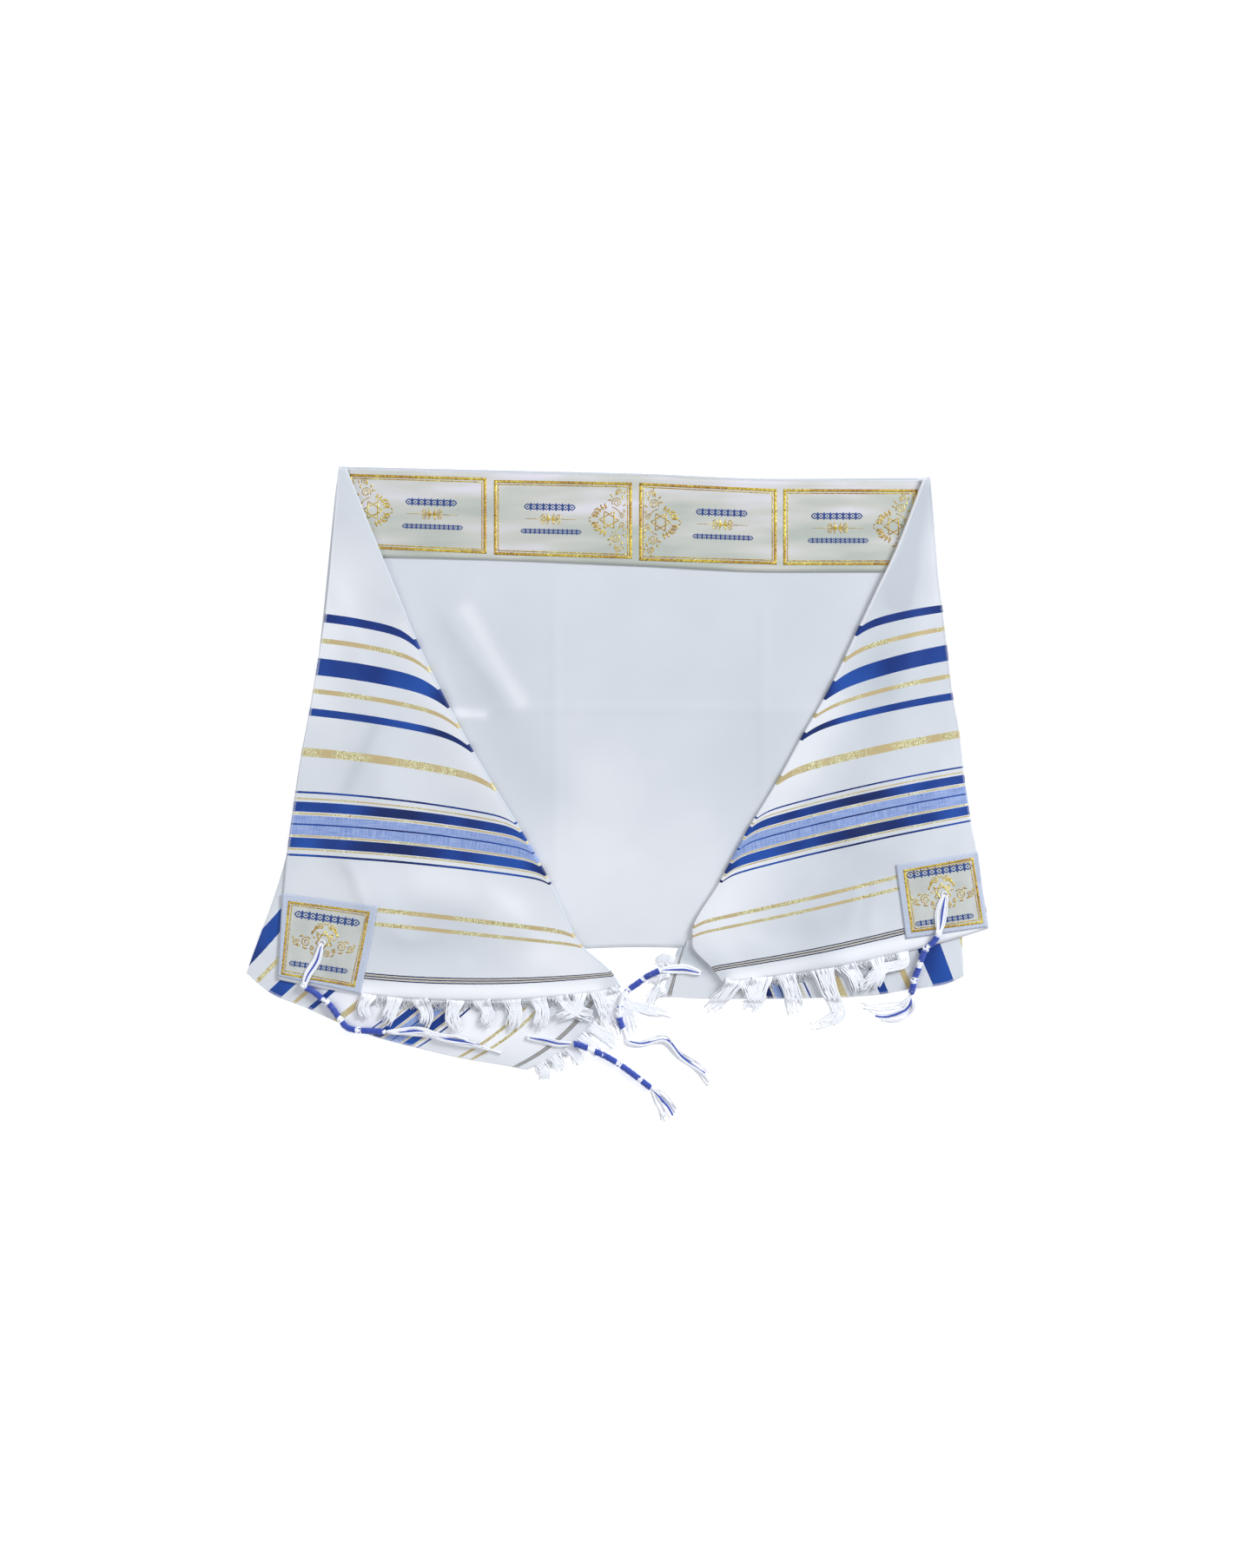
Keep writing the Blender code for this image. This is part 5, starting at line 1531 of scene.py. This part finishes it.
def make_patch_print(side, patch):
    """Gold frame, star and scrolls, and navy ornament, on a corner patch."""
    surface = surface_of([patch])
    gold, ink = new_shape(), new_shape()
    corners = np.array(PATCH_FRAMES[side], float)
    across = (corners[1] + corners[2] - corners[0] - corners[3]) / 2
    across /= np.linalg.norm(across)
    up = np.array([-across[1], across[0]])
    centre = corners.mean(axis=0)

    def height_at(x, y):
        return top_at(surface, x, y, 6.0)

    def placed(shift_x, shift_y):
        return lambda x, y: tuple(centre + across * (x + shift_x) + up * (y + shift_y))

    draw_frame(gold, corners, (2.6, 1.0), (1.3, 4.4), height_at)
    star = placed(0.0, 4.0)

    def put(points, width, mirror):
        draw(gold, [(x * mirror, y) for x, y in points], width, star, height_at)

    for line in star_points(11.0, math.pi / 2):
        put(line, 1.2, 1)
    for mirror in (-1, 1):
        put(arc_points(15.6, 18, 74), 1.0, mirror)
        for x, y, radius, start, hand, width in PATCH_SCROLLS:
            put(scroll_points(x, y, radius, start, 1.6, hand), width, mirror)
        for x, y, length, turn, bend, width in PATCH_LEAVES:
            leaf = leaf_points(x, y, length, turn, bend)
            put(leaf, swelled(len(leaf), width), mirror)
    draw_braid(ink, placed(0.0, 29.5), height_at, 76.0, 9.6)
    draw_braid(ink, placed(-2.0, -28.0), height_at, 68.0, 7.0)
    return [piece_from_shape(gold, side + "_patch_gold_print", "gold_glitter_foil"),
            piece_from_shape(ink, side + "_patch_navy_print", "navy_print")]


def make_eyelet(side):
    """A ring of buttonhole stitches round the tassel hole of a patch, begun as a torus."""
    x, y = HOLES[side]
    height = float(relief_under(np.array([[x, y]]))[0])
    bpy.ops.object.select_all(action="DESELECT")
    bpy.ops.mesh.primitive_torus_add(
        major_segments=36, minor_segments=8, major_radius=EYELET_RADIUS * MM,
        minor_radius=EYELET_THREAD * MM, location=(x * MM, y * MM, (height + 0.1) * MM))
    ring = bpy.context.object
    ring.name = side + "_eyelet"
    bpy.ops.object.mode_set(mode="EDIT")
    bpy.ops.mesh.select_all(action="DESELECT")
    bpy.ops.object.mode_set(mode="OBJECT")
    for vertex in ring.data.vertices:
        turn = math.atan2(vertex.co.y, vertex.co.x)
        vertex.select = math.cos(turn * 18) > 0
    bpy.ops.object.mode_set(mode="EDIT")
    bpy.ops.transform.resize(value=(1.10, 1.10, 1.5))
    bpy.ops.mesh.select_all(action="SELECT")
    bpy.ops.mesh.normals_make_consistent(inside=False)
    bpy.ops.object.mode_set(mode="OBJECT")
    bpy.ops.object.transform_apply(location=True, rotation=True, scale=True)
    bpy.ops.object.shade_smooth()
    layer = ring.data.uv_layers.active or ring.data.uv_layers.new(name="cord_map")
    layer.name = "cord_map"
    ring.data.materials.append(materials()["overlock_thread"])
    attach(ring, "root")
    return ring


# Fringe

def edge_line(side, layer, across):
    """Places along the fringed end of a layer, with the height of its middle."""
    if layer == "flap":
        plan = flap_plan(side, np.ones(len(across)), across)
        height = flap_level(side, plan[:, 0], plan[:, 1])
    else:
        plan = under_plan(side, np.ones(len(across)), across)
        height = under_level(plan[:, 0], plan[:, 1])
    return np.column_stack([plan, height])


def add_tuft(shape, chance, edge, widths, way_points, strands):
    """A soft tuft of yarn that starts on a fringed edge and lies along its way, strand by strand."""
    points = np.array(way_points, float)
    nearest = int(np.argmin(np.hypot(*(edge[:, :2] - points[0]).T)))
    root = edge[nearest]
    tangent = unit_runs(edge[:, :2])[nearest]
    inwards = root[:2] - points[1]
    points[0] = root[:2] + EDGE_REACH * inwards / np.linalg.norm(inwards)
    way = smooth_chain(points, 2.6)
    runs = unit_runs(way)
    sides = left_of(runs)
    sides[0] = tangent * math.copysign(1.0, tangent @ sides[0])
    reach = run_lengths(way)
    share = reach / reach[-1]
    spread = TUFT_FULLNESS * (widths[0] * (1 - share) + widths[1] * share)
    spread = spread * (1 - TUFT_WAIST * np.sin(math.pi * np.minimum(1, share * 1.7)))
    for strand in range(strands):
        slot = 2 * (strand + 0.5) / strands - 1 + chance.uniform(-0.15, 0.15)
        phase = chance.uniform(0, math.tau)
        pitch = chance.uniform(3.5, 6.5)
        curl = chance.uniform(0.3, 1.0) * np.sin(reach / pitch + phase) * np.minimum(1, reach / 8)
        plan = way + sides * (slot * spread / 2 + curl)[:, None]
        keep = max(5, int(round(len(way) * chance.uniform(0.68, 1.0))))
        chain = rest_chain(plan[:keep], STRAND_RADIUS, float(root[2]), 2)
        raise_relief(chain[2:], STRAND_RADIUS * 0.4)
        add_tube(shape, chain, STRAND_RADIUS * np.linspace(1.0, 0.55, len(chain)), 5)


def make_fringe(node, side, layer, from_share, to_share, outward, pitch, strands):
    """Short fuzz all along the end of a layer, and tufts of yarn over it."""
    chance = np.random.default_rng(sum(ord(letter) for letter in node))
    shape = new_shape()
    fine = edge_line(side, layer, np.linspace(from_share, to_share, 240))
    lengths = run_lengths(fine[:, :2])
    runs = unit_runs(fine[:, :2])
    away = outward * left_of(runs)
    for place in np.arange(0.4, lengths[-1], pitch):
        root = at_lengths(place, lengths, fine)
        way, run = at_lengths(place, lengths, away), at_lengths(place, lengths, runs)
        length = LASH_LENGTH * chance.uniform(0.5, 1.3)
        lean = chance.normal(0, 0.35)
        bend = chance.normal(0, 0.4)
        reaches = np.array([-EDGE_REACH, 0.25 * length, 0.6 * length, length])
        plan = np.array([root[:2] + way * reach + run * (lean * reach + bend * reach * reach / length)
                         for reach in reaches])
        chain = rest_chain(plan, LASH_RADIUS, root[2], 2.0)
        add_tube(shape, chain, LASH_RADIUS * np.array([1.0, 1.0, 0.9, 0.6]), 3)
    for start_width, end_width, *way_points in TUFTS[node]:
        add_tuft(shape, chance, fine, (start_width, end_width), way_points, strands)
    return piece_from_shape(shape, node + "_yarn", "plied_fringe_yarn", [node])


# Corner tassels

def add_loop(white, blue, node, strands, plan, runs, lengths, low):
    """The loop through the tassel's hole: strands side by side, and one blue strand on top of them."""
    chosen = lengths <= LOOP_LENGTH[node] + 2
    share = lengths[chosen] / LOOP_LENGTH[node]
    bulge = LOOP_SPREAD[node] * np.sin(math.pi * np.clip(share, 0, 1)) ** 0.6 + 1.0
    for index in range(strands):
        offset = (index - (strands - 1) / 2) / ((strands - 1) / 2)
        sideways = left_of(runs[chosen]) * (bulge * offset)[:, None]
        wave = 0.25 * np.sin(lengths[chosen] / 5 + index)
        height = low[chosen] + 1.0 + 2.2 * smooth_step(share - 0.4) + 0.5 * (index % 2) + wave
        height = np.maximum(height, low[chosen] + 0.9)
        on_top = index == strands // 2
        height = height + (BLUE_LIFT * np.sin(math.pi * np.clip(share, 0, 1)) if on_top else 0)
        chain = np.column_stack([plan[chosen] + sideways, height])
        add_tube(blue if on_top else white, chain, BLUE_LOOP_RADIUS if on_top else LOOP_RADIUS, 6)


def add_winding(blue, start, end, core, runs, lengths):
    """Blue cord wound round the core between two distances along it."""
    marks = np.linspace(start, end, int((end - start) / WINDING_PITCH * 14))
    centre = at_lengths(marks, lengths, core)
    run = at_lengths(marks, lengths, runs)
    run /= np.linalg.norm(run, axis=1, keepdims=True)
    angle = (marks - start) / WINDING_PITCH * math.tau
    side = np.column_stack([left_of(run), np.zeros(len(run))])
    up = np.array([0.0, 0.0, 1.0])
    reach = CORE_RADIUS - 0.2 + 0.18 * np.sin(marks * 0.9)
    helix = centre + side * (np.cos(angle) * reach)[:, None] + up * (np.sin(angle) * reach)[:, None]
    add_tube(blue, helix, WINDING_WIRE, 6)


def add_knot(shape, centre, size, spin):
    """A trefoil knot of cord round a place."""
    turns = np.linspace(0, math.tau, 40)
    x = (np.sin(turns) + 2 * np.sin(2 * turns)) * size * KNOT_CORD
    y = (np.cos(turns) - 2 * np.cos(2 * turns)) * size * KNOT_CORD
    chain = np.column_stack([centre[0] + x * math.cos(spin) - y * math.sin(spin),
                             centre[1] + x * math.sin(spin) + y * math.cos(spin),
                             centre[2] - np.sin(3 * turns) * size * 1.5])
    add_tube(shape, chain, KNOT_CORD, 6)


def add_free_ends(white, blue, node, strands, plan, runs, height, chance):
    """The free ends, fanned out between the ways that they lie, the blue one laid last."""
    side = left_of(runs[-1])
    ordered = sorted(TASSEL_ENDS[node], key=lambda end: end[0][0] * side[0] + end[0][1] * side[1])
    for index in sorted(range(strands), key=lambda number: number == strands // 2):
        share = index / (strands - 1) * (len(ordered) - 1)
        lower = min(int(share), len(ordered) - 2)
        mix = share - lower
        first = smooth_chain([tuple(plan[-1])] + list(ordered[lower]), 4.0)
        second = smooth_chain([tuple(plan[-1])] + list(ordered[lower + 1]), 4.0)
        count = int(len(first) * (1 - mix) + len(second) * mix)
        places = np.linspace(0, 1, count)
        line = sum(weight * at_lengths(places, np.linspace(0, 1, len(chain)), chain)
                   for chain, weight in ((first, 1 - mix), (second, mix)))
        reach = run_lengths(line)
        phase = chance.uniform(0, math.tau)
        sway = 0.9 * np.sin(reach / 9 + phase) * np.minimum(1, reach / 14)
        line = line + left_of(unit_runs(line)) * sway[:, None]
        keep = int(count * chance.uniform(0.86, 1.0))
        chain = rest_chain(line[:keep], END_RADIUS, height, 4)
        raise_relief(chain, END_RADIUS * 0.5)
        add_tube(blue if index == strands // 2 else white, chain,
                 END_RADIUS * np.linspace(1.0, 0.75, len(chain)), 6)


def make_corner_tassel(node, strands):
    """A corner tassel: its loop, windings, knots and free ends, in white and blue cord."""
    chance = np.random.default_rng(sum(ord(letter) for letter in node))
    white, blue = new_shape(), new_shape()
    plan = smooth_chain(TASSEL_ROUTES[node], 2.0)
    runs, lengths = unit_runs(plan), run_lengths(plan)
    core = rest_chain(plan, CORE_RADIUS + WINDING_WIRE)
    add_loop(white, blue, node, strands, plan, runs, lengths, core[:, 2] - CORE_RADIUS - WINDING_WIRE)
    add_tube(white, core[lengths >= LOOP_LENGTH[node] - 1], CORE_RADIUS - 0.4, 10)
    raise_relief(core, CORE_RADIUS - 0.4)
    for start, end in WINDINGS[node]:
        add_winding(blue, start, end, core, runs, lengths)
    for number, place in enumerate(KNOTS[node]):
        centre = at_lengths(place, lengths, core)
        spin = chance.uniform(0, math.tau)
        add_knot(white, centre, 1.0, spin)
        add_knot(blue if number % 2 else white, centre, 0.8, spin + 0.9)
    add_free_ends(white, blue, node, strands, plan, runs, float(core[-1, 2]), chance)
    piece_from_shape(white, node + "_white", "tassel_white_cord", [node])
    piece_from_shape(blue, node + "_blue", "tassel_blue_cord")


# Sizes and colours that a user may change

def length_property(name, description, default, low, high):
    """A length in metres that a user may change, between a lowest and a highest."""
    return bpy.props.FloatProperty(name=name, description=description, default=default, min=low, max=high,
                                   unit="LENGTH")


def count_property(name, description, default, low, high):
    """A number of strands that a user may change, between a lowest and a highest."""
    return bpy.props.IntProperty(name=name, description=description, default=default, min=low, max=high)


class ShawlSizes(bpy.types.PropertyGroup):
    """Sizes of the shawl's finer parts."""

    cloth_wall: length_property("Cloth thickness", "Thickness of the shawl cloth", 0.0008, 0.0003, 0.002)
    band_wall: length_property("Satin thickness", "Thickness of collar and patches", 0.0006, 0.0002, 0.001)
    weave_pitch: length_property("Thread spacing", "Spacing of the cloth's threads", 0.0006, 0.0003, 0.003)
    satin_pitch: length_property("Satin spacing", "Spacing of the satin's threads", 0.0005, 0.0002, 0.002)
    lurex_grain: length_property("Lurex grain", "Length of a glint in the gold stripes",
                                 0.0009, 0.0004, 0.004)
    glitter_grain: length_property("Glitter grain", "Width of a flake of gold glitter", 0.0012, 0.0004, 0.004)
    stitch_pitch: length_property("Stitch spacing", "Spacing of the overlock stitches", 0.0012, 0.001, 0.008)
    lash_pitch: length_property("Lash spacing", "Spacing of the short fringe threads", 0.0005, 0.0005, 0.01)
    fringe_strands: count_property("Strands a tuft", "Strands in a tuft of the fringe", 24, 3, 40)
    tassel_strands: count_property("Corner strands", "Strands in a corner tassel", 8, 4, 12)


def colour_property(name, description, code):
    """A colour that a user may change, with an sRGB hex default."""
    return bpy.props.FloatVectorProperty(name=name, description=description, default=linear(code),
                                         size=3, min=0, max=1, subtype="COLOR")


class ShawlColours(bpy.types.PropertyGroup):
    """Colours of the shawl's materials."""

    cloth: colour_property("Cloth", "White of the cloth", "#D7DBDF")
    # Painted highlight and painted shade of the white cloth: the ends of the ramp that the painted light map
    # runs along
    cloth_painted_highlight: colour_property("Cloth, bright", "White of the cloth where its nap is smooth", "#FAFAFC")
    cloth_painted_shade: colour_property("Cloth, dull", "White of the cloth where its nap is ruffled", "#C0C7CD")
    blue: colour_property("Blue", "Royal blue of the satin stripes", "#0F3480")
    # Painted sheen and painted shade of the satin stripes
    blue_painted_sheen: colour_property("Blue, bright", "Royal blue where the satin shines", "#1C4EA4")
    blue_painted_shade: colour_property("Blue, deep", "Royal blue where the satin turns away", "#09225A")
    chambray: colour_property("Light band", "Light blue of the middle band", "#A3B6DE")
    chambray_deep: colour_property("Light band, deeper", "Blue threads of the middle band", "#7189C4")
    lurex: colour_property("Lurex", "Smooth beige of the gold stripes", "#C8B586")
    lurex_shade: colour_property("Lurex, shaded", "Lurex flakes that face away", "#A2864A")
    lurex_green: colour_property("Lurex, green", "Lurex flakes with a green cast", "#C8CA8E")
    lurex_glint: colour_property("Lurex, bright", "Lurex flakes that catch the light", "#F7F4D2")
    gold: colour_property("Gold foil", "Gold of the printed foil", "#DCBC3E")
    gold_copper: colour_property("Gold foil, copper", "Foil where it looks coppery", "#C29650")
    gold_shadow: colour_property("Gold foil, shaded", "Foil flakes that face away", "#8C6426")
    gold_glint: colour_property("Gold foil, bright", "Foil flakes that catch the light", "#FFF78C")
    silver: colour_property("Silver", "Silver thread between the navy lines", "#B4B5AA")
    line_navy: colour_property("Line navy", "Navy of the three lines", "#1B2752")
    # Collar satin and the cooler and warmer tones of its painted pearly sheen
    satin: colour_property("Collar satin", "Pearly middle tone of the collar", "#C9CAC1")
    satin_cool: colour_property("Collar satin, cooler", "Grey-green tone of the collar", "#B6BCB3")
    satin_warm: colour_property("Collar satin, warmer", "Lilac-white tone of the collar", "#DDDAE0")
    patch: colour_property("Patch satin", "Pale grey-green of the patches", "#D0D3CE")
    patch_deep: colour_property("Patch satin, deeper", "Grey-green in the patches' shade", "#BEC2BB")
    margin: colour_property("Patch margin", "Lavender-blue margin of the patches", "#CCD4E3")
    margin_deep: colour_property("Patch margin, deeper", "Frayed threads of the margin", "#B3BDCF")
    navy: colour_property("Navy print", "Navy ink", "#21407F")
    navy_thin: colour_property("Navy print, thin", "Navy ink where it is thin", "#36549A")
    yarn: colour_property("Yarn", "White of fringe and tassels", "#FAFBFD")
    # Painted shade in the grooves of the white yarn
    yarn_shadow: colour_property("Yarn, grooves", "Grooves of the twisted yarn", "#E6E9F1")
    cord_blue: colour_property("Blue cord", "Royal blue of the windings", "#3D58BC")
    # Painted shade in the grooves of the blue cord
    cord_painted_shade: colour_property("Blue cord, grooves", "Grooves of the blue cord", "#22388C")
    paper: colour_property("Paper", "White of the studio paper", "#FAFAFA")
    paper_warm: colour_property("Paper, warmer", "Studio paper where it is warmer", "#F8F8F8")


# Operators

def sheet_piece(name):
    """A sheet that was made before, by name."""
    piece = bpy.data.objects.get(name)
    if piece is None:
        raise RuntimeError(name + " has to be made first")
    return piece


class SHAWL_OT_cloth(bpy.types.Operator):
    """Make the back panel and the folded layers of both ends"""

    bl_idname = "shawl.make_cloth"
    bl_label = "Make Cloth"

    def execute(self, context):
        """Makes the five stretches of cloth."""
        wall = context.scene.shawl_sizes.cloth_wall / MM
        back = make_back_panel(wall)
        for side in SIDES:
            under = make_under(side, wall)
            flap = make_flap(side, wall)
        return {"FINISHED"}


class SHAWL_OT_collar(bpy.types.Operator):
    """Make the satin collar band with its print"""

    bl_idname = "shawl.make_collar"
    bl_label = "Make Collar"

    def execute(self, context):
        """Makes the band and lays the print on it."""
        collar = make_collar(context.scene.shawl_sizes.band_wall / MM)
        prints = make_collar_print(collar)
        return {"FINISHED"}


class SHAWL_OT_patches(bpy.types.Operator):
    """Make the corner patches with their print and eyelets"""

    bl_idname = "shawl.make_patches"
    bl_label = "Make Patches"

    def execute(self, context):
        """Makes each patch on its flap."""
        wall = context.scene.shawl_sizes.band_wall / MM
        made = []
        for side in SIDES:
            flap = sheet_piece(side + "_flap_cloth")
            patch = make_patch(side, flap, wall)
            made.append(patch)
            prints = make_patch_print(side, patch)
        cloths = [sheet_piece(name + "_cloth") for name in ("back_panel", "left_under", "right_under",
                                                            "left_flap", "right_flap")]
        take_relief(cloths + made)
        for side in SIDES:
            make_eyelet(side)
        return {"FINISHED"}


class SHAWL_OT_edges(bpy.types.Operator):
    """Stitch over the long edges of the cloth"""

    bl_idname = "shawl.stitch_edges"
    bl_label = "Stitch Edges"

    def execute(self, context):
        """Makes the overlock stitches."""
        sizes = context.scene.shawl_sizes
        make_overlocks(sizes.cloth_wall / MM, sizes.stitch_pitch / MM)
        return {"FINISHED"}


class SHAWL_OT_fringe(bpy.types.Operator):
    """Make the fringe on both ends"""

    bl_idname = "shawl.make_fringe"
    bl_label = "Make Fringe"

    def execute(self, context):
        """Makes lashes and tufts on each end, the lower layers first."""
        sizes = context.scene.shawl_sizes
        for row in FRINGES:
            make_fringe(*row, sizes.lash_pitch / MM, sizes.fringe_strands)
        return {"FINISHED"}


class SHAWL_OT_tassels(bpy.types.Operator):
    """Make the four corner tassels"""

    bl_idname = "shawl.make_tassels"
    bl_label = "Make Corner Tassels"

    def execute(self, context):
        """Makes each tassel on what lies below it."""
        for node in TASSEL_ROUTES:
            make_corner_tassel(node, context.scene.shawl_sizes.tassel_strands)
        return {"FINISHED"}


class SHAWL_OT_stage(bpy.types.Operator):
    """Lay the studio paper, and set the lights and the camera"""

    bl_idname = "shawl.set_stage"
    bl_label = "Set Stage"

    def execute(self, context):
        """Makes the floor, world, lights and camera."""
        scene = context.scene
        bpy.ops.object.select_all(action="DESELECT")
        bpy.ops.mesh.primitive_plane_add(size=14.0, location=(0, 0, 0))
        floor = context.object
        floor.name = "studio_floor"
        bpy.ops.object.mode_set(mode="EDIT")
        bpy.ops.mesh.select_all(action="SELECT")
        bpy.ops.mesh.subdivide(number_cuts=3)
        bpy.ops.object.mode_set(mode="OBJECT")
        studio_paper(scene.shawl_colours)
        floor.data.materials.append(bpy.data.materials["studio_paper"])
        world = bpy.data.worlds.new("studio")
        scene.world = world
        world.use_nodes = True
        background = world.node_tree.nodes["Background"]
        background.inputs["Color"].default_value = shade(linear("#F7F9FF"))
        background.inputs["Strength"].default_value = 0.5
        lights = (
            ("window", (3.8, 2.6, 2.8), 270.0, 2.0, "#F6F9FF"),
            ("fill", (-2.1, -0.4, 2.1), 17.0, 1.8, "#FBFCFF"),
        )
        for name, place, power, size, code in lights:
            data = bpy.data.lights.new(name, "AREA")
            data.energy = power
            data.size = size
            data.color = linear(code)
            lamp = bpy.data.objects.new(name, data)
            lamp.location = place
            aim = Vector((0.0, -0.1, 0.0)) - Vector(place)
            lamp.rotation_euler = aim.to_track_quat("-Z", "Y").to_euler()
            lamp.visible_camera = False
            scene.collection.objects.link(lamp)
        camera = bpy.data.cameras.new("photo_camera")
        camera.sensor_fit = "AUTO"
        camera.sensor_width = 36.0
        camera.lens = camera.sensor_width * CAMERA_RISE / PHOTO_HEIGHT
        camera.clip_end = 100.0
        viewer = bpy.data.objects.new("photo_camera", camera)
        viewer.location = (*PHOTO_CENTRE, CAMERA_RISE + SURFACE_LEVEL)
        scene.collection.objects.link(viewer)
        scene.camera = viewer
        scene.view_settings.view_transform = "Standard"
        return {"FINISHED"}


class SHAWL_PT_panel(bpy.types.Panel):
    """Lists the shawl's steps, sizes and colours"""

    bl_label = "Prayer Shawl"
    bl_idname = "SHAWL_PT_panel"
    bl_space_type = "VIEW_3D"
    bl_region_type = "UI"
    bl_category = "Shawl"

    def draw(self, context):
        """Draws the steps in order, then the sizes and colours."""
        layout = self.layout
        for step in STEPS:
            layout.operator(step.bl_idname)
        for group in (context.scene.shawl_sizes, context.scene.shawl_colours):
            box = layout.box()
            for name in group.__annotations__:
                box.prop(group, name)


STEPS = (SHAWL_OT_stage, SHAWL_OT_cloth, SHAWL_OT_collar, SHAWL_OT_patches, SHAWL_OT_edges,
         SHAWL_OT_fringe, SHAWL_OT_tassels)
CLASSES = (ShawlSizes, ShawlColours, *STEPS, SHAWL_PT_panel)


def register():
    """Makes the shawl's classes known to Blender."""
    for each in CLASSES:
        bpy.utils.register_class(each)
    bpy.types.Scene.shawl_sizes = bpy.props.PointerProperty(type=ShawlSizes)
    bpy.types.Scene.shawl_colours = bpy.props.PointerProperty(type=ShawlColours)


def unregister():
    """Takes the shawl's classes out again."""
    del bpy.types.Scene.shawl_colours
    del bpy.types.Scene.shawl_sizes
    for each in reversed(CLASSES):
        bpy.utils.unregister_class(each)


def main():
    """Makes the shawl step by step."""
    register()
    bpy.ops.shawl.set_stage()
    bpy.ops.shawl.make_cloth()
    bpy.ops.shawl.make_collar()
    bpy.ops.shawl.make_patches()
    bpy.ops.shawl.stitch_edges()
    bpy.ops.shawl.make_fringe()
    bpy.ops.shawl.make_tassels()


if __name__ == "__main__":
    main()
